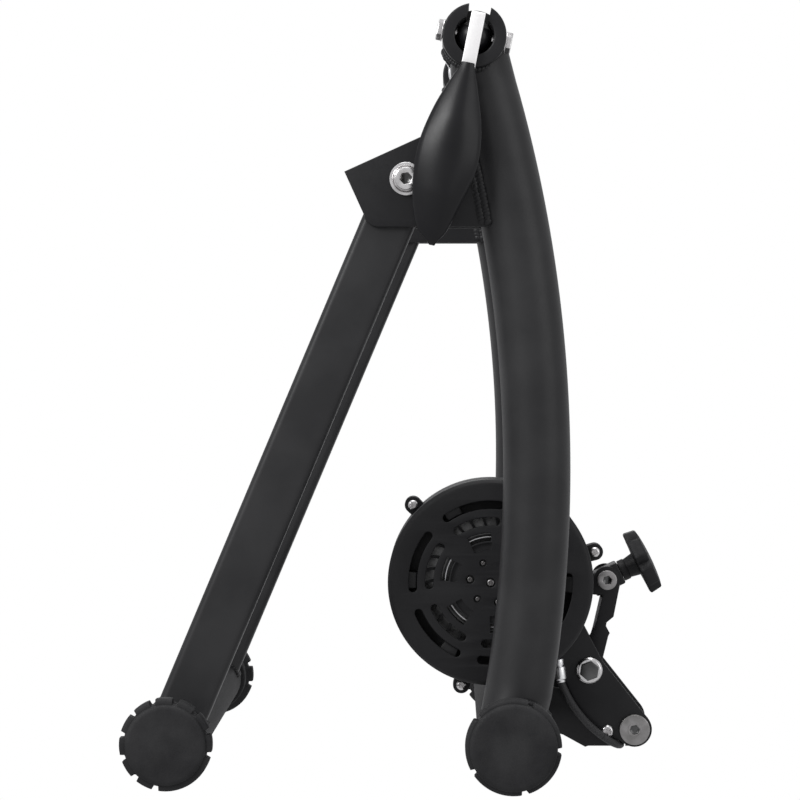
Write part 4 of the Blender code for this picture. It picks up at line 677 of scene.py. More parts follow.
def bead_tree():
    tree, start, end = new_tree("weld_beads", (("Pitch", "Float"), ("Bead radius", "Float")))
    new, link = tree.nodes.new, tree.links.new
    resample = new("GeometryNodeResampleCurve")
    resample.mode = "LENGTH"
    link(start.outputs["Geometry"], resample.inputs["Curve"])
    link(start.outputs["Pitch"], resample.inputs["Length"])
    ball = new("GeometryNodeMeshUVSphere")
    ball.inputs["Segments"].default_value = 12
    ball.inputs["Rings"].default_value = 8
    link(start.outputs["Bead radius"], ball.inputs["Radius"])
    tangent = new("GeometryNodeInputTangent")
    turn = new("FunctionNodeAlignRotationToVector")
    turn.axis = "Z"
    link(tangent.outputs["Tangent"], turn.inputs["Vector"])
    jitter = new("FunctionNodeRandomValue")
    jitter.data_type = "FLOAT_VECTOR"
    jitter.inputs["Min"].default_value = (0.88, 0.88, 0.84)
    jitter.inputs["Max"].default_value = (1.10, 1.10, 1.06)
    jitter.inputs["Seed"].default_value = 4
    place = new("GeometryNodeInstanceOnPoints")
    link(resample.outputs["Curve"], place.inputs["Points"])
    link(ball.outputs["Mesh"], place.inputs["Instance"])
    link(turn.outputs["Rotation"], place.inputs["Rotation"])
    link(jitter.outputs["Value"], place.inputs["Scale"])
    real_and_painted(tree, start, place.outputs["Instances"], end)
    return tree


WELD_TREE = bead_tree()
WELD_PITCH = 0.0024
RING_POINTS = 60
FOOT_SHIFT, BEAD_OUT, BEAD_RISE = 0.0045, 0.001, 0.0004
ARCH_BEAD, BRACKET_BEAD, THIN_BEAD = 0.0023, 0.0034, 0.0017
print("weld tree:", len(WELD_TREE.nodes), "nodes")


def weld(name, paths, radius, body):
    """One piece of weld beads along several paths."""
    curve = bpy.data.curves.new(name, "CURVE")
    curve.dimensions = "3D"
    for path in paths:
        spline = curve.splines.new("POLY")
        spline.points.add(len(path) - 1)
        for point, place in zip(spline.points, path):
            point.co = (*place, 1)
    item = in_scene(name, curve)
    modifier = item.modifiers.new("beads", "NODES")
    modifier.node_group = WELD_TREE
    for label, value in (("Pitch", WELD_PITCH), ("Bead radius", radius), ("Finish", WELD)):
        set_input(modifier, WELD_TREE, label, value)
    return put(name, settled(item), WELD, body, angle=80)


def arch_foot_path(side):
    """Round the arch's foot, on the rear tube."""
    points = []
    for k in range(RING_POINTS + 1):
        a = 2 * pi * k / RING_POINTS
        across = (TUBE_R + BEAD_OUT) * cos(a)
        height = REAR_Z + sqrt(max(TUBE_R ** 2 - across ** 2, 0.0)) + BEAD_RISE
        points.append((REAR_X + FOOT_SHIFT + across, side * SIDE_Y + (TUBE_R + BEAD_OUT) * sin(a), height))
    return points


def arch_head_path(side):
    """Round the swaged end, which stays just under the sleeve's widest line."""
    points = []
    for k in range(RING_POINTS + 1):
        a = 2 * pi * k / RING_POINTS
        across = ARCH_TOP_X - AXLE_X + TUBE_R * (1 - SWAGE_SHARE + SWAGE_SHARE * cos(a))
        across = max(min(across, SLEEVE_R * 0.93), -SLEEVE_R * 0.93)
        height = AXLE_Z - sqrt(SLEEVE_R ** 2 - across ** 2) - 0.0008
        points.append((AXLE_X + across, side * SIDE_Y + TUBE_R * sin(a), height))
    return points


arch_paths = [path(side) for path in (arch_foot_path, arch_head_path) for side in (-1, 1)]
weld("arch_welds", arch_paths, ARCH_BEAD, "main_frame")

# %% [markdown]
# ## Rubber feet
# Each cap is one moulding: a round face, a rim cut by grip notches and a sleeve over the tube. It is
# lofted from rings of points whose radius dips inside each notch, so the notches have soft corners and
# the mesh stays whole.

# %% Rubber feet
FOOT_POINTS = 288
NOTCH_W, NOTCH_DEPTH, NOTCH_SOFT = 0.0036, 0.0028, 0.0007
CAP_WALL, CAP_LENGTH = 0.0026, 0.0360
REAR_FACE_R, FRONT_FACE_R = 0.0265, 0.0246
REAR_NOTCHES = [radians(68 + 72 * i) for i in range(5)]
FRONT_NOTCHES = [radians(-13 + 30 * i) for i in range(10)]


def notch_depth(angle, radius, notches):
    """How deep the rim is cut at an angle, with soft edges."""
    deepest = 0.0
    for notch in notches:
        away = abs((angle - notch + pi) % (2 * pi) - pi) * radius
        share = min(max((NOTCH_W / 2 - away) / NOTCH_SOFT + 0.5, 0.0), 1.0)
        deepest = max(deepest, share * share * (3 - 2 * share))
    return deepest * NOTCH_DEPTH


def foot_cap(name, x, radius, face, half, side, notches, body, node):
    """Rings of (radius, depth behind the face, whether the notches cut into it), lofted and capped."""
    sleeve = TUBE_R + CAP_WALL
    levels = [(face * 0.62, 0.0002, 0), (face - 0.0030, 0.0, 0), (face - 0.0014, 0.0002, 0),
              (face - 0.0005, 0.0008, 0), (face, 0.0018, 0), (face + 0.0001, 0.0030, 0),
              (radius - 0.0016, 0.0031, 1), (radius - 0.0006, 0.0036, 1), (radius, 0.0048, 1),
              (radius, 0.0145, 1), (radius - 0.0004, 0.0156, 1), (radius - 0.0014, 0.0162, 1),
              (sleeve + 0.0012, 0.0166, 0), (sleeve + 0.0002, 0.0172, 0), (sleeve, 0.0182, 0),
              (sleeve, 0.0350, 0), (sleeve - 0.0004, 0.0357, 0), (sleeve - 0.0012, CAP_LENGTH, 0),
              (TUBE_R - 0.0005, CAP_LENGTH, 0)]
    sections = []
    for reach, inwards, cut in levels:
        ring_points = []
        for k in range(FOOT_POINTS):
            angle = 2 * pi * k / FOOT_POINTS
            r = reach - (notch_depth(angle, radius, notches) if cut else 0)
            ring_points.append((x + r * cos(angle), side * (half - inwards), radius + r * sin(angle)))
        sections.append(ring_points)
    return put(name, loft(name, sections), RUBBER, body, (node,), angle=40)


for place_name, side in (("near", -1), ("far", 1)):
    foot_cap(place_name + "_rear_cap", REAR_X, REAR_Z, REAR_FACE_R, REAR_HALF, side, REAR_NOTCHES,
             "main_frame", place_name + "_rear_foot")
    foot_cap(place_name + "_front_cap", FRONT_X, FRONT_Z, FRONT_FACE_R, FRONT_HALF, side, FRONT_NOTCHES,
             "leg_frame", place_name + "_front_foot")
print("four rubber caps")

# %% [markdown]
# ## Folding legs
# Each leg is a flat-sided tube with rounded corners. Its sections are lofted along the leg, narrowed to a
# round head at the hinge and slid onto the front tube at the foot.

# %% Legs
LEG_W, LEG_T, LEG_CORNER = 0.0325, 0.022, 0.0045
LEG_ANGLE = atan2(HINGE_X - FRONT_X, HINGE_Z - FRONT_Z)
LEG_LENGTH = hypot(HINGE_X - FRONT_X, HINGE_Z - FRONT_Z)
LEG_HEAD = LEG_W / 2
FOOT_CLEAR = 0.024


def leg_place(side):
    """Takes (along X, across, up the leg) to the frame, with the hinge as the origin."""
    return Matrix.Translation((HINGE_X, side * SIDE_Y, HINGE_Z)) @ Matrix.Rotation(LEG_ANGLE, 4, "Y")


def leg_tube(name, side):
    place = leg_place(side)
    outline = rounded_box(LEG_W, LEG_T, LEG_CORNER, 6)
    stations = [-LEG_LENGTH + FOOT_CLEAR] + [-LEG_LENGTH * (1 - i / 8) for i in range(1, 8)]
    stations += [LEG_HEAD * sin(pi / 2 * i / 9) for i in range(10)]
    foot = []
    for x, y in outline:
        height = -LEG_LENGTH + sqrt((TUBE_R - TUCK) ** 2 - min(abs(x), TUBE_R - 0.001) ** 2)
        foot.append(place @ Vector((x, y, height)))
    sections = [foot]
    for station in stations:
        share = sqrt(max(1 - (max(station, 0.0) / LEG_HEAD) ** 2, 0.0004))
        sections.append([place @ Vector((x * share, y, station)) for x, y in outline])
    return loft(name, sections)


for leg_name, side, node in (("near_leg_tube", -1, "near_leg"), ("far_leg_tube", 1, "far_leg")):
    put(leg_name, leg_tube(leg_name, side), POWDER_AND_MAGNET_SHADE, "leg_frame", (node,), angle=30)


def leg_foot_path(side):
    place = leg_place(side)
    outline = rounded_box(LEG_W + BEAD_OUT, LEG_T + BEAD_OUT, LEG_CORNER, 6)
    outline.append(outline[0])
    spots = [(x, y, -LEG_LENGTH + sqrt(TUBE_R ** 2 - x * x) + BEAD_RISE) for x, y in outline]
    return [tuple(place @ Vector(spot)) for spot in spots]


weld("leg_welds", [leg_foot_path(-1), leg_foot_path(1)], THIN_BEAD, "leg_frame")

# %% [markdown]
# ## Leg brackets
# A bracket is one plate folded into a channel, open below. Its outline gets its full width and soft edges
# where it is folded, and a pocket for the leg is then cut out of it. It runs into the arch, where a weld
# holds it.

# %% Leg brackets
WEB_ANGLE = radians(24.4)
LEG_CLEAR = 0.0008
BRACKET_T = 0.003
BRACKET_IN = LEG_T / 2 + LEG_CLEAR
BRACKET_OUT = BRACKET_IN + BRACKET_T
BRACKET_NOSE, BRACKET_DROP, BRACKET_CORNER = 0.0330, 0.0298, 0.0100
NOSE_LOW, BRACKET_EDGE = 0.0100, 0.0009
ROOM_AHEAD, ROOM_BEHIND, ROOM_BELOW = 0.060, 0.090, 0.070
ALONG = Vector((cos(WEB_ANGLE), sin(WEB_ANGLE)))
UP = Vector((-sin(WEB_ANGLE), cos(WEB_ANGLE)))
HINGE = Vector((HINGE_X, HINGE_Z))


def bracket_outline():
    top = LEG_W / 2 + LEG_CLEAR + BRACKET_T
    nose_top = HINGE - ALONG * BRACKET_NOSE + UP * top
    nose_low = HINGE - ALONG * BRACKET_NOSE - UP * NOSE_LOW
    low = HINGE_Z - BRACKET_DROP
    tail_top = HINGE + UP * top
    for step in range(20):
        tail_top += ALONG * (arch_x(tail_top.y) - tail_top.x) / ALONG.x
    corner = arc(HINGE_X - 0.0170, low + BRACKET_CORNER, BRACKET_CORNER, pi * 1.17, pi * 1.5, 8)
    return [tuple(nose_top), tuple(nose_low)] + corner + [(arch_x(low), low), tuple(tail_top)]


def leg_bracket(name, side):
    middle = side * SIDE_Y
    outer = pressed(name, [bracket_outline()], middle - BRACKET_OUT, middle + BRACKET_OUT, BRACKET_EDGE)
    top = LEG_W / 2 + LEG_CLEAR
    ahead, behind = HINGE - ALONG * ROOM_AHEAD, HINGE + ALONG * ROOM_BEHIND
    room = [tuple(ahead + UP * top), tuple(ahead - UP * ROOM_BELOW), tuple(behind - UP * ROOM_BELOW),
            tuple(behind + UP * top)]
    pocket = pressed("pocket", [room], middle - BRACKET_IN, middle + BRACKET_IN, CUT_EDGE)
    return carved(name, outer, [pocket])


for bracket_name, side, node in (("near_bracket", -1, "near_leg_bracket"),
                                 ("far_bracket", 1, "far_leg_bracket")):
    put(bracket_name, leg_bracket(bracket_name, side), PLATE, "main_frame", (node,), angle=28)


BEAD_STEP, ROW_STEP = 0.0018, 0.0040


def cheek_weld_path(side, cheek, row):
    """Where a cheek meets the round arch tube. The second row lies beside the first, a little lower."""
    away = sqrt(TUBE_R ** 2 - BRACKET_OUT ** 2) + 0.0016 + ROW_STEP * row
    y = side * SIDE_Y + cheek * (BRACKET_OUT - 0.0014 - 0.0006 * row)
    low = HINGE_Z - BRACKET_DROP + 0.0035
    heights = [low + BEAD_STEP * i for i in range(31 - 5 * row)]
    return [(arch_x(height) - away, y, height) for height in heights]


cheek_paths = [cheek_weld_path(side, cheek, row) for side in (-1, 1) for cheek in (-1, 1) for row in (0, 1)]
weld("bracket_welds", cheek_paths, BRACKET_BEAD, "main_frame")

# %% [markdown]
# ## Hinge bolts
# The photograph shows a bright socket screw on a plain washer. The head is a plate with a hexagonal hole
# over a turned base, so the socket has real depth.

# %% Hinge bolts
HINGE_FACE = SIDE_Y + BRACKET_OUT
HINGE_HEAD_R, HINGE_HEAD_H = 0.0069, 0.0087
WASHER_IN, WASHER_R, WASHER_H = 0.0050, 0.0103, 0.0022
HINGE_NUT_R, HINGE_NUT_H = 0.0083, 0.008
HINGE_SHANK_R, HINGE_TAIL, NUT_EDGE = 0.0047, 0.0100, 0.0006


def hexagon(x, z, radius, turn=0.0):
    """Six corners, each at the radius from the middle."""
    return [(x + radius * cos(turn + pi / 3 * i), z + radius * sin(turn + pi / 3 * i)) for i in range(6)]


SOCKET_SHADE_FLOORS = {}


def socket_screw(body, x, z, seat, side, head_r, head_h, socket_r, socket_depth):
    """The head of a socket screw. Its socket floor is a piece of its own: darker steel, painted shade."""
    top, floor = seat + head_h, seat + head_h - socket_depth
    outlines = [circle(x, z, head_r, 64), hexagon(x, z, socket_r, 0.2)]
    cap = pressed("cap", outlines, *sorted((side * floor, side * top)), 0.0005)
    bore = socket_r * 0.98
    under, low = side * (floor + OVERLAP), side * (seat + OVERLAP)
    ring = [(bore, under), (head_r - 0.00002, under), (head_r - 0.00002, side * seat), (bore, side * seat)]
    cone = [(0, side * (floor - socket_r * 0.6)), (bore - 0.00005, under), (bore - 0.00005, low), (0, low)]
    SOCKET_SHADE_FLOORS.setdefault(body, []).append(lathe("cone", cone, along_y(x, z), 32))
    return [cap, lathe("base", ring, along_y(x, z), 64)]


for bolt_name, side, node in (("near_leg_bolt", -1, "near_hinge_bolt"),
                              ("far_leg_bolt", 1, "far_hinge_bolt")):
    face = HINGE_FACE + SEAT_GAP
    rim = rounded([(WASHER_IN, 0), (WASHER_R, 0), (WASHER_R, WASHER_H), (0.0084, WASHER_H), (0.0078, 0.0004),
                   (WASHER_IN, 0.0004)], 0.0004, 3, True)
    washer = lathe("washer", [(r, side * (face + h)) for r, h in rim], along_y(HINGE_X, HINGE_Z), 64)
    back = SIDE_Y - BRACKET_OUT - SEAT_GAP
    nut_ends = sorted((side * back, side * (back - HINGE_NUT_H)))
    nut = pressed("nut", [hexagon(HINGE_X, HINGE_Z, HINGE_NUT_R)], *nut_ends, NUT_EDGE)
    shank = rod("shank", HINGE_SHANK_R, side * face, side * (back - HINGE_TAIL), along_y(HINGE_X, HINGE_Z),
                32)
    head = socket_screw("main_frame", HINGE_X, HINGE_Z, face + SEAT_GAP, side, HINGE_HEAD_R, HINGE_HEAD_H,
                        socket_r=0.0038, socket_depth=0.0040)
    put(bolt_name, joined(bolt_name, [washer, nut, shank] + head), ZINC, "main_frame", (node,))
print("hinge at", HINGE_X, HINGE_Z)

# %% [markdown]
# ## Clamp sleeves
# A thick sleeve crosses the top of each arch. The near one is slotted at the top, where the clamp lever
# swings through, and its pivot bolt shows on both sides.

# %% Clamp sleeves and pivot bolt
SLEEVE_BORE = 0.0120
SLEEVE_OUT = 0.195
NEAR_SLEEVE_IN, FAR_SLEEVE_IN = 0.118, 0.130
LEVER_TILT = radians(11.3)
LEVER_IN = 0.011
LEVER_Y = -(SLEEVE_OUT - LEVER_IN)
LEVER_DOWN = Vector((-sin(LEVER_TILT), 0, -cos(LEVER_TILT)))
LEVER_AXIS = Vector((cos(LEVER_TILT), 0, -sin(LEVER_TILT)))
SLEEVE_EDGE = 0.0012
SLOT_W, SLOT_DEPTH, SLOT_PAST = 0.0138, 0.052, 0.001
LEVER_ABOVE, LEVER_BELOW = 0.0146, 0.0290
LEVER_FACE, LEVER_T, LEVER_W = 0.0123, 0.0035, 0.0088
ON_AXLE = along_y(AXLE_X, AXLE_Z)
near_sleeve = tube("near_sleeve", SLEEVE_BORE, SLEEVE_R, -NEAR_SLEEVE_IN, -SLEEVE_OUT, ON_AXLE,
                   SLEEVE_EDGE, 128, 4)
far_sleeve = tube("far_sleeve", SLEEVE_BORE, SLEEVE_R, FAR_SLEEVE_IN, SLEEVE_OUT, ON_AXLE,
                  SLEEVE_EDGE, 128, 4)
slot_place = (Matrix.Translation(Vector((AXLE_X, -SLEEVE_OUT + SLOT_DEPTH / 2 - SLOT_PAST, AXLE_Z))
                                 - LEVER_DOWN * (SLEEVE_R * 0.75)) @ Matrix.Rotation(LEVER_TILT, 4, "Y"))
slot_tool = box_mesh("slot", (SLOT_W, SLOT_DEPTH + 2 * SLOT_PAST, SLEEVE_R * 1.1), slot_place)
put("near_sleeve", carved("near_sleeve", near_sleeve, [slot_tool]), PLATE, "main_frame",
    ("near_clamp_sleeve",))
put("far_sleeve", far_sleeve, PLATE, "main_frame", ("far_clamp_sleeve",))


def lever_pivot_bolt():
    centre = Vector((AXLE_X, LEVER_Y, AXLE_Z))
    seat, head, shank_r, hex_r, flange_r = SLEEVE_R - 0.0004, 0.0040, 0.003, 0.0066, 0.0070
    pieces = [rod("shank", shank_r, -seat, seat + 0.001, along(centre, LEVER_AXIS), 32)]
    for side in (-1, 1):
        outwards = along(centre + LEVER_AXIS * side * seat, LEVER_AXIS * side)
        hex_mesh = pressed("hex", [hexagon(0, 0, hex_r, 0.5)], 0, head, 0.0007)
        hex_mesh.transform(outwards @ Matrix.Rotation(pi / 2, 4, "X"))
        pieces += [hex_mesh, rod("flange", flange_r, 0, 0.0007, outwards, 40, 0.0002)]
    return joined("lever_pivot", pieces)


put("lever_pivot_bolt", lever_pivot_bolt(), ZINC, "main_frame", ("lever_bolt",))

# %% [markdown]
# ## Clamp lever
# A flat aluminium bar hangs in front of the sleeve. Inside the bore it carries a dark rounded cam that
# pushes the plunger. The grip is a leaf-shaped moulding, widest halfway down, lofted from crowned
# sections with a fine rim.

# %% Lever bar and cam
CAM_REACH, CAM_THROW, LEVER_OPEN = 0.0105, 0.005, radians(88)
CAM_BALL, CAM_GAP, CAM_STEPS = 0.0114, 0.0002, 22
NECK_IN, NECK_TOP, NECK_LOW = -0.0020, 0.0048, -0.0080


def lever_matrix():
    """Takes (across, inwards, up) of the lever to the frame."""
    columns = Matrix((LEVER_AXIS, (0, 1, 0), -LEVER_DOWN)).transposed().to_4x4()
    return Matrix.Translation((AXLE_X, LEVER_Y, AXLE_Z)) @ columns


def lever_plate(name, outline, half, edge):
    """A plate in the lever's own plane: the outline gives (inwards, up)."""
    mesh = pressed(name, [outline], -half, half, edge)
    swap = Matrix(((0, 1, 0, 0), (1, 0, 0, 0), (0, 0, 1, 0), (0, 0, 0, 1)))
    mesh.transform(lever_matrix() @ swap)
    mesh.flip_normals()
    return mesh


back, front = -LEVER_FACE, -LEVER_FACE - LEVER_T
bar_outline = [(NECK_IN, NECK_TOP), (back, NECK_TOP), (back, LEVER_ABOVE), (front, LEVER_ABOVE - 0.0010),
               (front, -LEVER_BELOW), (back, -LEVER_BELOW), (back, NECK_LOW), (NECK_IN, NECK_LOW)]
bar = lever_plate("lever_bar_arm", rounded(bar_outline, 0.0008, 3, True), LEVER_W / 2, 0.0005)
put("lever_bar_arm", bar, LEVER, "clamp_lever", ("lever_bar",))


def cam_reach(turn):
    """How far the cam reaches at an angle: a ball, cut flat so that it clears the plunger as it opens."""
    reach = CAM_BALL
    for step in range(CAM_STEPS + 1):
        facing = cos(turn - LEVER_OPEN * step / CAM_STEPS)
        if facing > 0.05:
            reach = min(reach, (CAM_REACH - CAM_GAP - CAM_THROW * step / CAM_STEPS) / facing)
    return reach


def lever_cam():
    ball = bmesh.new()
    bmesh.ops.create_uvsphere(ball, u_segments=64, v_segments=48, radius=CAM_BALL)
    for vertex in ball.verts:
        across, inwards, up = vertex.co
        share = min(1.0, cam_reach(atan2(up, inwards)) / max(hypot(inwards, up), 1e-6))
        vertex.co = (across, inwards * share, up * share)
    mesh = mesh_from(ball, "lever_cam")
    mesh.transform(lever_matrix())
    return mesh


put("lever_cam", lever_cam(), GRIP, "clamp_lever")

# %% [markdown]
# The grip's outline was read from the photograph as half widths left and right of its middle line. The
# crown swells towards the middle, and the edge stays thin, which gives the bright rim line.

# %% Lever grip
GRIP_START, GRIP_TIP = 0.0178, 0.1320
GRIP_LEFT = [(0.0, 0.0040), (0.10, 0.0085), (0.27, 0.0154), (0.49, 0.0200), (0.72, 0.0182), (0.92, 0.0112),
             (1.0, 0.0020)]
GRIP_RIGHT = [(0.0, 0.0036), (0.14, 0.0087), (0.34, 0.0153), (0.55, 0.0170), (0.77, 0.0112), (0.92, 0.0064),
              (1.0, 0.0012)]
GRIP_CROWN, GRIP_EDGE, GRIP_BOW = 0.0068, 0.0022, 0.004
GRIP_STEPS, CROWN_STEPS = 48, 16
GRIP_LEAST, CROWN_WIDTH = 0.0009, 0.031
RIM_LINE = [(1.03, GRIP_EDGE * 0.55), (1.0, 0.0002), (0.93, 0.0), (0.45, 0.0)]
UNDERSIDE = RIM_LINE + [(0.0, 0.0)] + [(-share, depth) for share, depth in reversed(RIM_LINE)]


def between(table, t):
    """A smooth value through a table's points."""
    for i in range(len(table) - 1):
        (t0, v0), (t1, v1) = table[i], table[i + 1]
        if t <= t1:
            share = (t - t0) / (t1 - t0)
            before = table[i - 1] if i else (t0 - (t1 - t0), v0)
            after = table[i + 2] if i + 2 < len(table) else (t1 + (t1 - t0), v1)
            m0 = (v1 - before[1]) / (t1 - before[0]) * (t1 - t0)
            m1 = (after[1] - v0) / (after[0] - t0) * (t1 - t0)
            s2, s3 = share * share, share ** 3
            value = (2 * s3 - 3 * s2 + 1) * v0 + (s3 - 2 * s2 + share) * m0
            return value + (3 * s2 - 2 * s3) * v1 + (s3 - s2) * m1
    return table[-1][1]


def lever_grip():
    top = LEVER_Y - LEVER_FACE - LEVER_T - SEAT_GAP
    sections = []
    for i in range(GRIP_STEPS + 1):
        t = i / GRIP_STEPS
        down = GRIP_START + (GRIP_TIP - GRIP_START) * t
        left, right = max(between(GRIP_LEFT, t), GRIP_LEAST), max(between(GRIP_RIGHT, t), GRIP_LEAST)
        crown = GRIP_CROWN * min(1.0, (left + right) / CROWN_WIDTH) ** 1.1
        base = Vector((AXLE_X, top - GRIP_BOW * sin(pi * t), AXLE_Z)) + LEVER_DOWN * down
        shares = [-1 + 2 * k / CROWN_STEPS for k in range(CROWN_STEPS + 1)]
        rim = [(share, crown * (1 - abs(share) ** 1.8) + GRIP_EDGE) for share in shares] + UNDERSIDE
        sections.append([base + LEVER_AXIS * share * (left if share < 0 else right) + Vector((0, -depth, 0))
                         for share, depth in rim])
    return loft("lever_grip_leaf", sections)


put("lever_grip_leaf", lever_grip(), GRIP, "clamp_lever", ("lever_grip",), angle=48)

# %% [markdown]
# ## Hub cups
# The near plunger and the far adjusting screw end in turned cups that take the wheel's skewer. A knurled
# lock ring and a hand knob hold the far one.

# %% Plunger, cups, lock ring and knob
HUB_HALF = 0.080
NEAR_CUP_R, FAR_CUP_R = 0.0195, 0.0160
CUP_L, CUP_WALL, CUP_DEPTH, CUP_TAPER, CUP_EDGE = 0.024, 0.0045, 0.013, 0.003, 0.0012
SHAFT = SLEEVE_BORE - SEAT_GAP
THREAD_DEPTH, THREAD_PITCH = 0.0008, 0.002
KNOB_TRAVEL, KNOB_CLEAR = 0.009, 0.001


def cup(radius, side):
    inner = radius - CUP_WALL
    profile = [(0, CUP_L), (radius, CUP_L), (radius, 0), (inner, 0), (inner - CUP_TAPER, CUP_DEPTH),
               (0, CUP_DEPTH)]
    return [(r, side * (HUB_HALF + h)) for r, h in rounded(profile, CUP_EDGE, 4)]


plunger_end = LEVER_Y + CAM_REACH + SEAT_GAP
plunger = rod("plunger_shaft", SHAFT, -HUB_HALF - CUP_L, plunger_end, ON_AXLE, 64, 0.001)
put("plunger_shaft", plunger, STEEL_AND_SOCKET_SHADE, "clamp_plunger", ("near_plunger",))
put("near_cup", lathe("near_cup", cup(NEAR_CUP_R, -1), ON_AXLE, 96), ALUMINIUM, "clamp_plunger",
    ("near_hub_cup",))
put("far_cup", lathe("far_cup", cup(FAR_CUP_R, 1), ON_AXLE, 96), ALUMINIUM, "far_cup", ("far_hub_cup",))
LOCK_IN, LOCK_L, FAR_KNOB_L = SLEEVE_OUT + SEAT_GAP, 0.009, 0.013
KNOB_IN = LOCK_IN + LOCK_L + KNOB_TRAVEL + KNOB_CLEAR
root = SHAFT - THREAD_DEPTH
screw_profile = [(0, HUB_HALF + CUP_L + SEAT_GAP)]
thread_start = HUB_HALF + CUP_L + 0.001
for i in range(int((KNOB_IN - thread_start) / THREAD_PITCH)):
    y = thread_start + i * THREAD_PITCH
    screw_profile += [(root, y), (SHAFT, y + THREAD_PITCH * 0.35), (SHAFT, y + THREAD_PITCH * 0.6)]
screw_profile += [(root, KNOB_IN), (root, KNOB_IN + 0.005), (0, KNOB_IN + 0.005)]
put("far_screw_shaft", lathe("far_screw_shaft", screw_profile, ON_AXLE, 48), STEEL_AND_SOCKET_SHADE, "far_screw",
    ("far_hub_screw",), angle=20)


def knurled(name, outer, depth, teeth, inner, low, high, edge):
    outline = []
    for i in range(teeth * 4):
        share = (0.0, 1.0, 1.0, 0.0)[i % 4]
        angle = 2 * pi * i / (teeth * 4)
        reach = outer - depth * share
        outline.append((AXLE_X + reach * cos(angle), AXLE_Z + reach * sin(angle)))
    holes = [circle(AXLE_X, AXLE_Z, inner, 64)] if inner else []
    return pressed(name, [outline] + holes, low, high, edge)


ring = knurled("far_ring", outer=0.0185, depth=0.0007, teeth=36, inner=SLEEVE_BORE, low=LOCK_IN,
               high=LOCK_IN + LOCK_L, edge=0.0003)
put("far_ring", ring, ALUMINIUM, "main_frame", ("far_lock_ring",))
far_knob = knurled("far_hand_knob", outer=0.0165, depth=0.0010, teeth=10, inner=0, low=KNOB_IN,
                   high=KNOB_IN + FAR_KNOB_L, edge=0.0004)
put("far_hand_knob", far_knob, NYLON, "far_screw", ("far_knob",))

# %% [markdown]
# ## Brake cover
# The round nylon cover is the busiest piece in the photograph. Its front is a disc with rings of curved
# vents in six sectors, a softly chamfered rim and a screwed centre. The front plate is pressed with its
# vents, its inmost row is cut only part of the way through, and the rim is turned.

# %% Brake cover
UNIT_X, UNIT_Z = 0.0272, 0.1186
HOUSING_R, HOUSING_WALL = 0.0661, 0.0026
HOUSING_BACK, SPLIT_Y, COVER_Y = 0.0475, 0.078, 0.105
COVER_CHAMFER = 0.0022
SECTORS = 6
SECTOR_START = radians(43.5)
EAR_RADIUS, EAR_R, EAR_T = 0.0701, 0.0054, 0.008
EAR_ANGLES = [radians(15.5), radians(135.5), radians(254.5)]
CENTRE_BOSS_R = 0.0134
BOSS_ANGLES = [radians(51 + 60 * i) for i in range(6)]
VENT_W = 0.0053
VENT_ROWS = [(0.0501, radians(20.5), True), (0.0394, radians(18.6), True), (0.02945, radians(14), False)]
POCKET_ROW_R, POCKET_W, POCKET_SPAN, POCKET_DEPTH = 0.0236, 0.0045, radians(15), 0.0021
SCREW_HOLE_R, SCREW_POCKET_R, CENTRE_HOLE_R = 0.0027, 0.0026, 0.0030
PRESS_EDGE = 0.0005
EAR_ROOT, EAR_SPREAD, EAR_HOLE_R = 0.010, 0.085, 0.0017
ON_UNIT = along_y(UNIT_X, UNIT_Z)


def arc_slot(radius, width, middle, half_span, round_ends=True, count=14):
    half = width / 2
    start, end = middle - half_span, middle + half_span
    outer = arc(UNIT_X, UNIT_Z, radius + half, start, end, count)
    inner = arc(UNIT_X, UNIT_Z, radius - half, end, start, count)
    if not round_ends:
        return outer + inner
    caps = []
    for angle, first in ((end, end), (start, start + pi)):
        x, z = UNIT_X + radius * cos(angle), UNIT_Z + radius * sin(angle)
        caps.append(arc(x, z, half, first, first + pi, 8)[1:-1])
    return outer + caps[0] + inner + caps[1]


def around(radius, angle):
    return UNIT_X + radius * cos(angle), UNIT_Z + radius * sin(angle)


def cover_mesh():
    holes = []
    recesses = []
    for i in range(SECTORS):
        middle = SECTOR_START + i * 2 * pi / SECTORS
        for radius, half_span, round_ends in VENT_ROWS:
            holes.append(arc_slot(radius, VENT_W, middle, half_span, round_ends))
        recesses.append(arc_slot(POCKET_ROW_R, POCKET_W, middle, POCKET_SPAN, False))
    holes += [circle(*around(CENTRE_BOSS_R, angle), SCREW_HOLE_R, 24) for angle in BOSS_ANGLES[::2]]
    recesses += [circle(*around(CENTRE_BOSS_R, angle), SCREW_POCKET_R, 24) for angle in BOSS_ANGLES[1::2]]
    holes.append(circle(UNIT_X, UNIT_Z, CENTRE_HOLE_R, 24))
    face = HOUSING_R - COVER_CHAMFER
    disc = circle(UNIT_X, UNIT_Z, face - PRESS_EDGE, 144)
    front = pressed("front", [disc] + holes, -COVER_Y, -COVER_Y + HOUSING_WALL, PRESS_EDGE)
    recess = pressed("recess", recesses, -COVER_Y - 0.001, -COVER_Y + POCKET_DEPTH, CUT_EDGE)
    front = carved("front", front, [recess])
    split = -SPLIT_Y - SEAT_GAP
    wall_in = HOUSING_R - HOUSING_WALL
    rim = rounded([(face - 0.003, -COVER_Y + OVERLAP), (face, -COVER_Y + OVERLAP),
                   (HOUSING_R, -COVER_Y + COVER_CHAMFER), (HOUSING_R, split), (wall_in, split),
                   (wall_in, -COVER_Y + COVER_CHAMFER + 0.001),
                   (face - 0.003, -COVER_Y + HOUSING_WALL - OVERLAP)], 0.0007, 3, True)
    pieces = [front, lathe("rim", rim, ON_UNIT, 144)]
    for angle in EAR_ANGLES:
        pieces.append(ear("ear", angle, split - EAR_T, split - OVERLAP))
    return joined("brake_cover_front", pieces)


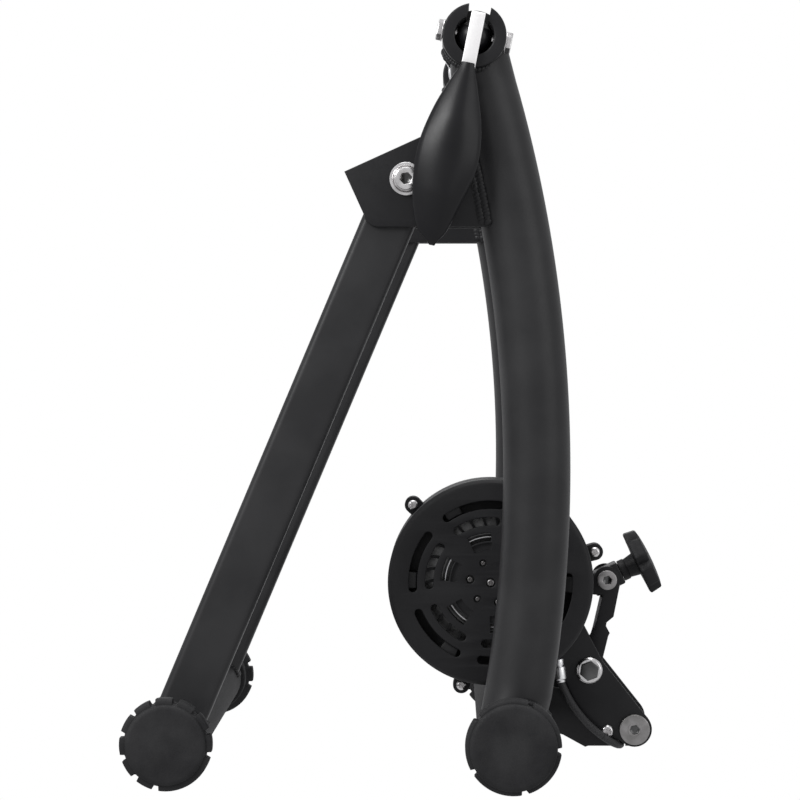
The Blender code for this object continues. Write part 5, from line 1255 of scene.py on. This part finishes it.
def ear(name, angle, low, high):
    """A screw lug with its web to the rim."""
    x, z = around(EAR_RADIUS, angle)
    side = [around(EAR_RADIUS - EAR_ROOT, angle + s * EAR_SPREAD) for s in (1, -1)]
    outline = arc(x, z, EAR_R, angle - pi / 2, angle + pi / 2, 20) + side
    return pressed(name, [outline, circle(x, z, EAR_HOLE_R, 16)], low, high, PRESS_EDGE)


put("brake_cover_front", cover_mesh(), NYLON, "resistance_unit", ("brake_cover",), angle=40)

# %% [markdown]
# The back half is a pan with a rounded edge and a collar round the shaft. Pan head screws hold the ears
# together, and smaller ones sit in the holes and pockets of the cover's centre.

# %% Back housing and screws
COLLAR_IN, COLLAR_R = 0.0152, 0.0177
pan_in = HOUSING_R - HOUSING_WALL
back_profile = rounded([(COLLAR_IN, -HOUSING_BACK), (HOUSING_R - 0.0061, -HOUSING_BACK),
                        (HOUSING_R, -HOUSING_BACK - 0.006), (HOUSING_R, -SPLIT_Y), (pan_in, -SPLIT_Y),
                        (pan_in, -HOUSING_BACK - 0.007), (HOUSING_R - 0.0071, -HOUSING_BACK - HOUSING_WALL),
                        (COLLAR_R, -HOUSING_BACK - HOUSING_WALL), (COLLAR_R, -SPLIT_Y - 0.0065),
                        (COLLAR_IN, -SPLIT_Y - 0.0065)], 0.0008, 3, True)
back_pieces = [lathe("pan", back_profile, ON_UNIT, 144)]
for angle in EAR_ANGLES:
    back_pieces.append(ear("ear", angle, -SPLIT_Y + OVERLAP, -SPLIT_Y + EAR_T))
put("brake_pan", joined("brake_pan", back_pieces), NYLON, "resistance_unit", ("brake_back_housing",),
    angle=40)


def pan_head(x, z, seat, head_r, head_h=0.0022):
    """A cross-recessed screw head that faces the camera's side."""
    dome = rounded([(0, seat - head_h), (head_r * 0.72, seat - head_h), (head_r, seat - head_h * 0.4),
                    (head_r, seat), (0, seat)], 0.0008, 4)
    head = lathe("head", dome, along_y(x, z), 40)
    size = (head_r * 1.15, head_r * 0.46, head_r * 0.46)
    blades = []
    for turn in (0.4, 0.4 + pi / 2):
        place = Matrix.Translation((x, seat - head_h, z)) @ Matrix.Rotation(turn, 4, "Y")
        blades.append(box_mesh("blade", size, place @ Matrix.Rotation(pi / 4, 4, "X")))
    return carved("head", head, blades)


ear_seat = -SPLIT_Y - SEAT_GAP - EAR_T
ear_screws = [pan_head(*around(EAR_RADIUS, angle), ear_seat, head_r=0.0033) for angle in EAR_ANGLES]
put("cover_screw_heads", joined("cover_screw_heads", ear_screws), ZINC, "resistance_unit")
POCKET_SEAT = -COVER_Y + 0.0022
centre_screws = [pan_head(*around(CENTRE_BOSS_R, angle), POCKET_SEAT, 0.0021 - 0.0004 * (i % 2),
                          head_h=0.0010) for i, angle in enumerate(BOSS_ANGLES)]
centre_screws.append(pan_head(UNIT_X, UNIT_Z, POCKET_SEAT, head_r=0.0026, head_h=0.0014))
# The small screws in the cover's pockets get the darker etched steel, not zinc: painted shade in the pockets.
put("pocket_screw_heads", joined("pocket_screw_heads", centre_screws), ETCHED_AND_POCKET_SHADE, "resistance_unit")

# %% [markdown]
# ## Rotor, fan and magnets
# Through the vents the photograph shows fan blades, a bright turned ring and small screws. The blades
# repeat round a circle, so Geometry Nodes place them.


# %% Fan tree
def ring_tree():
    """Instances of an object on points round a circle, turned to face outwards."""
    inputs = (("Item", "Object"), ("Count", "Int"), ("Radius", "Float"))
    tree, start, end = new_tree("round_a_circle", inputs)
    new, link = tree.nodes.new, tree.links.new
    ring = new("GeometryNodeMeshCircle")
    link(start.outputs["Count"], ring.inputs["Vertices"])
    link(start.outputs["Radius"], ring.inputs["Radius"])
    item = new("GeometryNodeObjectInfo")
    link(start.outputs["Item"], item.inputs["Object"])
    place = new("GeometryNodeInputPosition")
    turn = new("FunctionNodeAlignRotationToVector")
    turn.axis = "X"
    link(place.outputs["Position"], turn.inputs["Vector"])
    set_out = new("GeometryNodeInstanceOnPoints")
    link(ring.outputs["Mesh"], set_out.inputs["Points"])
    link(item.outputs["Geometry"], set_out.inputs["Instance"])
    link(turn.outputs["Rotation"], set_out.inputs["Rotation"])
    real_and_painted(tree, start, set_out.outputs["Instances"], end)
    return tree


RING_TREE = ring_tree()
print("ring tree:", len(RING_TREE.nodes), "nodes")


def round_a_circle(item_mesh, count, radius, place, material):
    """The item, modelled pointing along +X at the origin, copied round a circle."""
    item = in_scene("item", item_mesh)
    seed = in_scene("seed", bpy.data.meshes.new("seed"))
    modifier = seed.modifiers.new("ring", "NODES")
    modifier.node_group = RING_TREE
    for name, value in (("Item", item), ("Count", count), ("Radius", radius), ("Finish", material)):
        set_input(modifier, RING_TREE, name, value)
    mesh = settled(seed, item)
    mesh.transform(place)
    return mesh


# %% [markdown]
# The flywheel is turned with a groove behind the third row of vents, where its bright lip shows. The
# fan's blades stand round a ring in front of it, and the magnets sit on a plate of their own, which the
# shift cable turns.

# %% Rotor, fan and magnets
WHEEL_FRONT = -COVER_Y + HOUSING_WALL + 0.0050
WHEEL_BACK = WHEEL_FRONT + 0.008
FLYWHEEL_R, SILVER_R = 0.0462, 0.0322
SHAFT_R = 0.006
FAN_BLADES, FAN_IN, FAN_RING_R = 30, 0.0345, 0.0352
BLADE_T, BLADE_W = 0.0016, 0.0040
LIP_IN, LIP_R = 0.0287, 0.0296
SMALL_STEP = 0.003
wheel_profile = rounded([(FLYWHEEL_R, WHEEL_BACK), (FLYWHEEL_R, WHEEL_BACK - SMALL_STEP),
                         (SILVER_R, WHEEL_BACK - SMALL_STEP), (SILVER_R, WHEEL_FRONT),
                         (SILVER_R - 0.0015, WHEEL_FRONT), (SILVER_R - 0.0015, WHEEL_FRONT + SMALL_STEP),
                         (0.0200, WHEEL_FRONT + SMALL_STEP), (0.0180, WHEEL_FRONT), (SHAFT_R, WHEEL_FRONT),
                         (SHAFT_R, WHEEL_BACK)], 0.0004, 2, True)
put("flywheel_disc", lathe("flywheel_disc", wheel_profile, ON_UNIT, 128), STEEL_AND_SOCKET_SHADE, "rotor", ("flywheel",))
lip = tube("bright_lip", LIP_IN, LIP_R, WHEEL_FRONT - 0.0004, WHEEL_FRONT + 0.0032, ON_UNIT, 0.0003, 128)
put("bright_lip", lip, ALUMINIUM, "rotor")
blade_place = Matrix.Translation(((FLYWHEEL_R - FAN_IN) / 2, 0, 0)) @ Matrix.Rotation(0.25, 4, "Z")
blade = box_mesh("blade", (FLYWHEEL_R - FAN_IN, BLADE_T, BLADE_W), blade_place)
fan_place = Matrix.Translation((UNIT_X, WHEEL_FRONT + 0.0026, UNIT_Z)) @ Matrix.Rotation(pi / 2, 4, "X")
fan = round_a_circle(blade, FAN_BLADES, FAN_IN, fan_place, NYLON)
fan_ring = tube("fan_ring", SILVER_R + 0.0006, FAN_RING_R, WHEEL_FRONT + 0.0008, WHEEL_BACK - 0.0034, ON_UNIT,
                0.0004, 96)
put("fan_blades", joined("fan_blades", [fan, fan_ring]), NYLON, "rotor", ("cooling_fan",))
axle = rod("rotor_axle", SHAFT_R, 0.051, WHEEL_FRONT - 0.002, ON_UNIT, 48, 0.001)
put("rotor_axle", axle, STEEL_AND_SOCKET_SHADE, "rotor", ("rotor_shaft",))

MAGNET_FACE, MAGNET_PLATE_T = -SPLIT_Y - 0.006, 0.003
MAGNET_ROW_R, MAGNET_W = 0.0522, 0.0090
magnet_plate = tube("plate", 0.0180, HOUSING_R - 0.0071, MAGNET_FACE, MAGNET_FACE + MAGNET_PLATE_T, ON_UNIT,
                    0.0004, 96)
magnets = [magnet_plate]
for i in range(SECTORS):
    middle = SECTOR_START + radians(15) + i * 2 * pi / SECTORS
    magnets.append(pressed("magnet", [arc_slot(MAGNET_ROW_R, MAGNET_W, middle, radians(6), False, 4)],
                           -COVER_Y + HOUSING_WALL + 0.0020, MAGNET_FACE + 0.0010, 0.0006))
# The magnets and their plate get the black powder coat: painted shade for the dark inside of the housing.
put("magnet_plate", joined("magnet_plate", magnets), POWDER_AND_MAGNET_SHADE, "magnets", ("magnet_carrier",))

# %% [markdown]
# ## Roller and bearings
# The tyre runs on a steel roller with recessed ends, turned from one profile. Its surface is finely scored.

# %% Roller
ROLLER_R, ROLLER_HALF = 0.0225, 0.030
RECESS, ROLLER_HUB_R = 0.004, 0.0100
half_profile = [(ROLLER_R, 0.0), (ROLLER_R, ROLLER_HALF), (ROLLER_R - 0.004, ROLLER_HALF),
                (ROLLER_R - 0.005, ROLLER_HALF - RECESS), (ROLLER_HUB_R, ROLLER_HALF - RECESS),
                (ROLLER_HUB_R, ROLLER_HALF)]
roller_profile = (half_profile + [(SHAFT_R, ROLLER_HALF), (SHAFT_R, -ROLLER_HALF)]
                  + [(r, -y) for r, y in reversed(half_profile[1:])])
put("tyre_roller", lathe("tyre_roller", rounded(roller_profile, 0.0010, 3, True), ON_UNIT, 96), ETCHED_AND_POCKET_SHADE,
    "rotor", ("roller",))
YOKE_Y, YOKE_T = 0.043, 0.004
BEARING_R, BEARING_W = 0.014, 0.008
BEARING_SEAT_R = BEARING_R + 0.0002
RACE_OUT, RACE_IN, SHIELD_DEPTH = 0.0115, 0.0085, 0.0006
for bearing_name, side, node in (("near_ball_bearing", -1, "near_bearing"),
                                 ("far_ball_bearing", 1, "far_bearing")):
    inner, outer = side * (YOKE_Y + YOKE_T - BEARING_W), side * (YOKE_Y + YOKE_T)
    shield_in, shield_out = inner + side * SHIELD_DEPTH, outer - side * SHIELD_DEPTH
    shield = [(RACE_OUT, shield_in), (RACE_OUT, shield_out), (RACE_IN, shield_out), (RACE_IN, shield_in)]
    rings = [tube("ring", RACE_OUT, BEARING_R, inner, outer, ON_UNIT, steps=64),
             lathe("ring", shield, ON_UNIT, 64),
             tube("ring", SHAFT_R + 0.0002, RACE_IN, inner, outer, ON_UNIT, steps=64)]
    put(bearing_name, joined(bearing_name, rings), ETCHED_AND_POCKET_SHADE, "resistance_unit", (node,))

# %% [markdown]
# ## Yoke plates
# Two thick plates carry the roller and swing on the lower pivot. The near one shows most of its outline:
# the round pivot end, a straight edge up past the bright bolt, and the hollow edge that the cable
# follows.

# %% Yoke plates
PIVOT_X, PIVOT_Z, PIVOT_END = 0.1226, 0.0181, 0.0115
LINK_X, LINK_Z = 0.0928, 0.0570
SWIVEL_X, SWIVEL_Z = 0.1058, 0.1146
ROD_SLOPE = atan2(0.436, 0.900)
ROD_DIR = Vector((cos(ROD_SLOPE), 0, sin(ROD_SLOPE)))
ROD_LENGTH = 0.045
SWIVEL = Vector((SWIVEL_X, 0, SWIVEL_Z))
ANCHOR = SWIVEL - ROD_LENGTH * ROD_DIR
TIE_X, TIE_Z, TIE_R = UNIT_X - 0.035, UNIT_Z - 0.0286, 0.006
LINK_LUG_R, ANCHOR_LUG_R, ROLLER_LUG_R, TIE_LUG_R = 0.0107, 0.0173, 0.030, 0.011
SPACER_IN, SPACER_R, SPACER_END = 0.0043, 0.0068, 0.0173
ON_LINK, ON_PIVOT = along_y(LINK_X, LINK_Z), along_y(PIVOT_X, PIVOT_Z)
CABLE_CENTRE_X, CABLE_CENTRE_Z, CABLE_BEND = 0.1455, 0.0760, 0.0759


def yoke_outline():
    edge = CABLE_BEND - CABLE_R - SEAT_GAP
    outline = arc(PIVOT_X, PIVOT_Z, PIVOT_END, radians(-122), radians(37.4), 24)
    outline.append((LINK_X + LINK_LUG_R * cos(radians(34)), LINK_Z + LINK_LUG_R * sin(radians(34))))
    outline += arc(ANCHOR.x, ANCHOR.z, ANCHOR_LUG_R, radians(27.7), radians(62), 8)
    outline += arc(UNIT_X, UNIT_Z, ROLLER_LUG_R, radians(48), radians(196), 24)
    outline += arc(TIE_X, TIE_Z, TIE_LUG_R, radians(172), radians(262), 10)
    outline += [(UNIT_X + 0.012, UNIT_Z - 0.052), (0.0660, 0.0640)]
    outline += arc(CABLE_CENTRE_X, CABLE_CENTRE_Z, edge, radians(200), radians(242), 20)
    return outline


for plate_name, side, node in (("near_yoke", -1, "near_yoke_plate"), ("far_yoke", 1, "far_yoke_plate")):
    low, high = sorted((side * YOKE_Y, side * (YOKE_Y + YOKE_T)))
    seat_hole = circle(UNIT_X, UNIT_Z, BEARING_SEAT_R, 64)
    plate_mesh = pressed(plate_name, [yoke_outline(), seat_hole], low, high, PRESS_EDGE)
    boss = tube("boss", BEARING_SEAT_R, BEARING_R + 0.0045, side * (YOKE_Y + 0.001), side * (YOKE_Y - 0.004),
                ON_UNIT, 0.0008, 64, 3)
    put(plate_name, joined(plate_name, [plate_mesh, boss]), PLATE, "resistance_unit", (node,), angle=30)
half = YOKE_Y - SEAT_GAP
tie_bar = rod("yoke_tie_bar", TIE_R, -half, half, along_y(TIE_X, TIE_Z))
put("yoke_tie_bar", tie_bar, POWDER_AND_MAGNET_SHADE, "resistance_unit", ("yoke_tie",))
for spacer_name, side, node in (("near_spacer_tube", -1, "near_link_spacer"),
                                ("far_spacer_tube", 1, "far_link_spacer")):
    spacer = tube(spacer_name, SPACER_IN, SPACER_R, side * half, side * SPACER_END, ON_LINK)
    put(spacer_name, spacer, ZINC, "resistance_unit", (node,))

# %% [markdown]
# ## Bolts on the yoke
# The big bright bolt holds the tension link: a flanged hexagon head. Below right is the pivot, a broad
# flat disc with a hexagon socket. Between them is the small screw of the cable's clip.

# %% Yoke bolts
YOKE_FACE = YOKE_Y + YOKE_T + SEAT_GAP
LINK_SHANK_R, PIVOT_SHANK_R, BOLT_TAIL = 0.0039, 0.0049, 0.009
LINK_NUT_R, LINK_NUT_H, LINK_HEX_R = 0.0080, 0.0068, 0.0066
PIVOT_NUT_R, PIVOT_NUT_H = 0.0086, 0.007
PIVOT_TUBE_IN, PIVOT_TUBE_R, PIVOT_TUBE_HALF = 0.0053, 0.0080, 0.0382


def link_bolt():
    flange = rounded([(0, -YOKE_FACE), (0.0088, -YOKE_FACE), (0.0088, -YOKE_FACE - 0.0016),
                      (0.0074, -YOKE_FACE - 0.0030), (0, -YOKE_FACE - 0.0021)], 0.0005, 3)
    shank = rod("shank", LINK_SHANK_R, -YOKE_FACE, YOKE_FACE + BOLT_TAIL, ON_LINK, 32)
    nut = pressed("nut", [hexagon(LINK_X, LINK_Z, LINK_NUT_R, 0.2)], YOKE_FACE, YOKE_FACE + LINK_NUT_H,
                  NUT_EDGE)
    return joined("link_bolt_flange", [lathe("flange", flange, ON_LINK, 64), shank, nut])


put("link_bolt_flange", link_bolt(), ZINC, "resistance_unit", ("link_bolt",))
hexagon_head = pressed("link_bolt_hexagon", [hexagon(LINK_X, LINK_Z, LINK_HEX_R, 0.35)], -YOKE_FACE - 0.0050,
                       -YOKE_FACE - 0.0018, 0.0007)
put("link_bolt_hexagon", hexagon_head, STEEL_AND_SOCKET_SHADE, "resistance_unit")
pin = rounded([(0, -YOKE_Y - YOKE_T), (0.004, -YOKE_Y - YOKE_T), (0.004, YOKE_FACE), (0.006, YOKE_FACE),
               (0.006, YOKE_FACE + 0.0036), (0, YOKE_FACE + 0.0036)], 0.0005, 2)
put("rod_anchor_pin", lathe("pin", pin, along_y(ANCHOR.x, ANCHOR.z), 40), ZINC, "resistance_unit",
    ("anchor_pin",))


def pivot_bolt():
    shank = rod("shank", PIVOT_SHANK_R, -YOKE_FACE, YOKE_FACE + BOLT_TAIL, ON_PIVOT, 40)
    nut = pressed("nut", [hexagon(PIVOT_X, PIVOT_Z, PIVOT_NUT_R)], YOKE_FACE, YOKE_FACE + PIVOT_NUT_H,
                  NUT_EDGE)
    groove = tube("groove", 0.0040, 0.0046, -YOKE_FACE - 0.0024, -YOKE_FACE - 0.0030, ON_PIVOT, 0.0002)
    head = socket_screw("main_frame", PIVOT_X, PIVOT_Z, YOKE_FACE, -1, head_r=0.0100, head_h=0.0028,
                        socket_r=0.0033, socket_depth=0.0018)
    return joined("unit_pivot", head + [groove, shank, nut])


put("unit_pivot", pivot_bolt(), ETCHED_AND_POCKET_SHADE, "main_frame", ("unit_pivot_bolt",))
pivot_tube = tube("unit_pivot_tube", PIVOT_TUBE_IN, PIVOT_TUBE_R, -PIVOT_TUBE_HALF, PIVOT_TUBE_HALF, ON_PIVOT)
put("unit_pivot_tube", pivot_tube, ZINC, "main_frame", ("unit_pivot_sleeve",))
clip_screw = pan_head(0.1047, 0.0170, -YOKE_Y - YOKE_T, head_r=0.0044, head_h=0.0026)
put("cable_clip_screw", clip_screw, ZINC, "resistance_unit")

# %% [markdown]
# ## Mounting bracket
# Two arms and a floor folded from one plate and welded to the rear tube. The same pocket as in the model
# is cut from a full-width outline, and the cable passes under the near arm in a round notch.

# %% Mounting bracket
ARM_Y, ARM_T, BOSS_R = 0.0385, 0.003, 0.0098


def mount_bracket():
    outline = arc(PIVOT_X, PIVOT_Z, PIVOT_END, radians(-90), radians(85), 24)
    outline += [(0.0900, 0.0420), (0.0560, 0.0480), (0.0450, 0.0350), (0.0560, 0.0200), (0.0758, 0.0139),
                (0.0904, 0.0059), (0.0924, PIVOT_Z - PIVOT_END)]
    outer = ARM_Y + ARM_T
    block = pressed("mount", [outline], -outer, outer, 0.0008)
    pocket = [(0.0770, 0.0139 + ARM_T * 1.15), (0.0904, 0.0059 + ARM_T * 1.2), (0.0960, 0.0059 + ARM_T),
              (0.0960, 0.0000), (0.1600, 0.0000), (0.1600, 0.0700), (0.0400, 0.0700), (0.0400, 0.0240),
              (0.0560, 0.0200 + ARM_T * 1.15)]
    notch = circle(FREE_ROUTE[3][0], FREE_ROUTE[3][2], CABLE_R + 0.0009, 24)
    cuts = [pressed("room", [pocket], -ARM_Y, ARM_Y, CUT_EDGE),
            pressed("notch", [notch], -outer - 0.002, -ARM_Y + 0.002, CUT_EDGE)]
    bosses = []
    for side in (-1, 1):
        low, high = side * (outer - 0.001), side * (YOKE_Y - SEAT_GAP)
        profile = [(PIVOT_TUBE_IN, low), (BOSS_R, low), (BOSS_R, high), (PIVOT_TUBE_IN, high)]
        bosses.append(lathe("boss", profile, ON_PIVOT, 48))
    return joined("mount_arms", [carved("mount", block, cuts)] + bosses)


put("mount_arms", mount_bracket(), PLATE, "main_frame", ("unit_mount_bracket",), angle=28)
mount_turns = [radians(-18 + 68 * i / 20) for i in range(21)]
reach = TUBE_R + BEAD_RISE
mount_weld = [[(REAR_X + reach * cos(turn), side * (ARM_Y + ARM_T), REAR_Z + reach * sin(turn))
               for turn in mount_turns] for side in (-1, 1)]
weld("mount_welds", mount_weld, THIN_BEAD, "main_frame")

# %% [markdown]
# ## Tension link and swivel block
# The link is a small channel on the bright bolt. Its eye carries the swivel block between two socket
# screws, and its foot carries a rubber bumper that presses on the rear tube.

# %% Tension link
LINK_HALF, LINK_T = 0.017, 0.003
SWIVEL_EYE_R, LINK_EYE_R, FOOT_EYE_R = 0.0091, 0.0095, 0.0042
STUD_R, STUD_END = 0.0034, 0.0073
BLOCK_X, BLOCK_Z, BLOCK_BORE_R = 0.0107, 0.0075, 0.0048
BUMPER_R, BUMPER_PIN_R, BUMPER_ANGLE = 0.006, 0.0025, radians(50)
bumper_reach = TUBE_R + BUMPER_R + SEAT_GAP
BUMPER_X = REAR_X + bumper_reach * cos(BUMPER_ANGLE)
BUMPER_Z = REAR_Z + bumper_reach * sin(BUMPER_ANGLE)


def link_mesh():
    outline = arc(SWIVEL_X, SWIVEL_Z, SWIVEL_EYE_R, radians(-12), radians(185), 24)
    outline += [(0.0965, 0.1048), (0.1030, 0.1044), (0.0977, 0.0813), (0.0962, 0.0763)]
    outline += arc(LINK_X, LINK_Z, LINK_EYE_R, radians(120), radians(150), 6)
    outline += arc(BUMPER_X, BUMPER_Z, FOOT_EYE_R, radians(98), radians(275), 14)
    outline += arc(LINK_X, LINK_Z, LINK_EYE_R, radians(275), radians(370), 14)
    outline += [(0.1067, 0.0772), (0.1077, 0.0791), (0.1052, 0.0838), (0.1056, 0.0862), (0.1102, 0.0900)]
    block = pressed("link", [outline], -LINK_HALF, LINK_HALF, 0.0006)
    inner = LINK_HALF - LINK_T
    gap = [(0.1007, 0.0826), (0.1050, 0.1020), (0.0900, 0.1020), (0.0900, 0.1300), (0.1300, 0.1300),
           (0.1300, 0.0300), (0.0400, 0.0300), (0.0400, 0.0810), (0.1007, 0.0810)]
    return carved("tension_link_channel", block, [pressed("gap", [gap], -inner, inner, CUT_EDGE)])


put("tension_link_channel", link_mesh(), PLATE, "tension_link", ("tension_link",), angle=28)
inner = LINK_HALF - LINK_T - SEAT_GAP
pin_end = LINK_HALF + 0.0012
bumper = rounded([(0, pin_end), (BUMPER_PIN_R, pin_end), (BUMPER_PIN_R, inner), (BUMPER_R, inner),
                  (BUMPER_R, -inner), (BUMPER_PIN_R, -inner), (BUMPER_PIN_R, -pin_end), (0, -pin_end)],
                 0.0006, 3)
put("foot_bumper", lathe("foot_bumper", bumper, along_y(BUMPER_X, BUMPER_Z), 48), RUBBER, "tension_link",
    ("link_bumper",))
for screw_name, side, node in (("near_eye_screw", -1, "near_swivel_screw"),
                               ("far_eye_screw", 1, "far_swivel_screw")):
    seat = LINK_HALF + SEAT_GAP
    head = socket_screw("tension_link", SWIVEL_X, SWIVEL_Z, seat, side, head_r=0.0065, head_h=0.0042,
                        socket_r=0.0030, socket_depth=0.0024)
    stud = rod("stud", STUD_R, side * seat, side * STUD_END, along_y(SWIVEL_X, SWIVEL_Z), 32)
    put(screw_name, joined(screw_name, head + [stud]), ETCHED_AND_POCKET_SHADE, "tension_link", (node,))
# The socket floors get the darker oiled steel: painted shade at the bottom of each socket.
for body, cones in SOCKET_SHADE_FLOORS.items():
    put(body + "_socket_floors", joined("socket_shade_floors", cones), STEEL_AND_SOCKET_SHADE, body)


def swivel_block():
    outline = [(-BLOCK_X, -BLOCK_Z), (BLOCK_X, -BLOCK_Z), (BLOCK_X, BLOCK_Z), (-BLOCK_X, BLOCK_Z)]
    turned_outline = [(SWIVEL_X + x * cos(ROD_SLOPE) - z * sin(ROD_SLOPE),
                       SWIVEL_Z + x * sin(ROD_SLOPE) + z * cos(ROD_SLOPE))
                      for x, z in rounded(outline, 0.0016, 5, True)]
    mesh = pressed("block", [turned_outline], -inner, inner, 0.0008)
    return carved("rod_block", mesh, [rod("bore", BLOCK_BORE_R, -0.03, 0.03, along(SWIVEL, ROD_DIR), 32)])


put("rod_block", swivel_block(), PLATE, "swivel_block", ("swivel_block",))

# %% [markdown]
# ## Tension rod and knob
# The rod's thread is turned as closely spaced rings. The knob has six flat-ended lobes: its sections are
# circles whose radius drops between the lobes, lofted from the collar to the shallow domed end.

# %% Rod and knob
ROD_R = 0.004
RIDGE, RIDGE_PITCH = 0.0004, 0.00125
EYE_IN, EYE_R, EYE_HALF = 0.0043, 0.0075, 0.0070
ROD_START, THREAD_FROM, THREAD_TO, ROD_END = 0.003, 0.009, ROD_LENGTH + 0.0160, ROD_LENGTH + 0.0170


def threaded_rod():
    root = ROD_R - RIDGE
    profile = [(0, ROD_START), (root, ROD_START)]
    y = THREAD_FROM
    while y < THREAD_TO:
        profile += [(root, y), (ROD_R, y + 0.0004), (ROD_R, y + 0.0006), (root, y + 0.0010)]
        y += RIDGE_PITCH
    profile += [(ROD_R - 2 * RIDGE, ROD_END), (0, ROD_END)]
    eye = tube("eye", EYE_IN, EYE_R, -EYE_HALF, EYE_HALF, along_y(ANCHOR.x, ANCHOR.z), 0.0006, 48, 3)
    return joined("tension_screw", [lathe("rod", profile, along(ANCHOR, ROD_DIR), 32), eye])


put("tension_screw", threaded_rod(), ZINC, "tension_rod", ("tension_rod",), angle=20)


def lobe_reach(angle):
    """A six-lobed outline whose lobes have flat ends, as a share of its outer radius."""
    away = abs((angle + pi / 6) % (pi / 3) - pi / 6)
    flat, dip = radians(17), 0.17
    if away < flat:
        return cos(flat) / cos(away)
    share = (away - flat) / (pi / 6 - flat)
    return 1 - dip * share


def knob_mesh():
    """Rings of (height, radius, how far the lobes show), lofted along the rod."""
    points, head = 144, 0.0227
    stations = [(0.0110, 0.0065, 0), (0.0112, 0.0072, 0), (0.0150, 0.0072, 0), (0.0158, 0.0066, 0),
                (head - 0.0006, 0.0078, 0), (head - 0.0002, 0.0140, 0.6), (head, 0.0212, 1),
                (head + 0.0004, 0.0222, 1), (head + 0.0012, 0.0226, 1), (head + 0.0078, 0.0217, 1),
                (head + 0.0086, 0.0210, 1), (head + 0.0094, 0.0170, 1), (head + 0.0100, 0.0110, 0.7),
                (head + 0.0103, 0.0060, 0.3), (head + 0.0104, 0.0010, 0)]
    side = Vector((0, 1, 0))
    over = ROD_DIR.cross(side)
    sections = []
    for height, reach, waviness in stations:
        section = []
        for i in range(points):
            angle = 2 * pi * i / points
            radius = reach * (1 - waviness * (1 - lobe_reach(angle + pi / 2)))
            spot = SWIVEL + ROD_DIR * height + side * (radius * cos(angle))
            section.append(spot + over * (radius * sin(angle)))
        sections.append(section)
    return loft("knob", sections)


put("tension_hand_knob", knob_mesh(), NYLON, "tension_knob", ("tension_knob",), angle=38)

# %% [markdown]
# ## The cable on the unit
# A bright barrel adjuster takes the cable's end, and the braided housing bends down along the yoke's
# edge. It uses the same tube and finish as the free cable, so the two meet without a step.

# %% Held cable and barrel adjuster
held_arc = arc(CABLE_CENTRE_X, CABLE_CENTRE_Z, CABLE_BEND, radians(199.6), radians(235), 30)
held = [Vector((x, CABLE_Y, z)) for x, z in held_arc]
held_mesh = tube_with_uv("unit_cable_run", held, CABLE_R)
put("unit_cable_run", held_mesh, CABLE, "resistance_unit", ("unit_cable",), angle=60)
barrel = rounded([(0, 0.0143), (0.0033, 0.0143), (0.0033, 0.0102), (0.0025, 0.0100), (0.0025, 0.0094),
                  (0.0040, 0.0092), (0.0040, 0.0012), (0.0030, 0.0006), (0.0030, -0.0010), (0, -0.0010)],
                 0.0003, 3)
put("barrel_adjuster", lathe("barrel_adjuster", barrel, along(held[0], (-2.0, 0, 17.1)), 48), ALUMINIUM,
    "resistance_unit", ("cable_adjuster",))

# %% [markdown]
# ## Leg bushes
# The two nylon bushes are hidden in the brackets. The plain nodes have the right shape, so they only get
# the moulded finish.

# %% Leg bushes
for node in ("near_leg_bush", "far_leg_bush"):
    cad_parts[node].data.materials.clear()
    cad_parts[node].data.materials.append(NYLON)
    print("%s: plain node with the moulded finish" % node)

# %% [markdown]
# ## Light and backdrop
# The photograph is a cut-out on pure white. The world is white where the camera sees it, and soft grey
# where it lights the part or is reflected. Four broad lamps, at the left, right, top and back, aim at the
# part's middle. The left one is the strongest and gives the long soft highlights on the tubes.

# %% World
world = bpy.data.worlds.new("studio")
bpy.context.scene.world = world
world.use_nodes = True
tree = world.node_tree
background = tree.nodes["Background"]
path = tree.nodes.new("ShaderNodeLightPath")
lit = tree.nodes.new("ShaderNodeBackground")
mix = tree.nodes.new("ShaderNodeMixShader")
background.inputs["Color"].default_value = (0.60, 0.60, 0.61, 1)
background.inputs["Strength"].default_value = 1.0
lit.inputs["Color"].default_value = (1, 1, 1, 1)
lit.inputs["Strength"].default_value = 1.0
tree.links.new(path.outputs["Is Camera Ray"], mix.inputs["Fac"])
tree.links.new(background.outputs["Background"], mix.inputs[1])
tree.links.new(lit.outputs["Background"], mix.inputs[2])
tree.links.new(mix.outputs["Shader"], tree.nodes["World Output"].inputs["Surface"])
bpy.context.scene.view_settings.view_transform = "Standard"
print("world:", world.name)

# %% Lamps
AIM = Vector((0, 0, 0.22))
LAMPS = [("left_softbox", (-1.3, -1.5, 1.3), 0.9, 30.0), ("right_softbox", (1.5, -1.2, 0.7), 1.2, 6.0),
         ("top_softbox", (0.0, -0.2, 1.8), 1.2, 12.0), ("back_softbox", (-0.4, 1.8, 1.2), 1.4, 4.0)]
for name, place, size, power in LAMPS:
    lamp = bpy.data.lights.new(name, "AREA")
    lamp.size = size
    lamp.energy = power
    item = in_scene(name, lamp)
    item.location = place
    item.rotation_euler = (AIM - Vector(place)).to_track_quat("-Z", "Y").to_euler()
    print("%s: %.0f W, %.1f m wide" % (name, power, size))
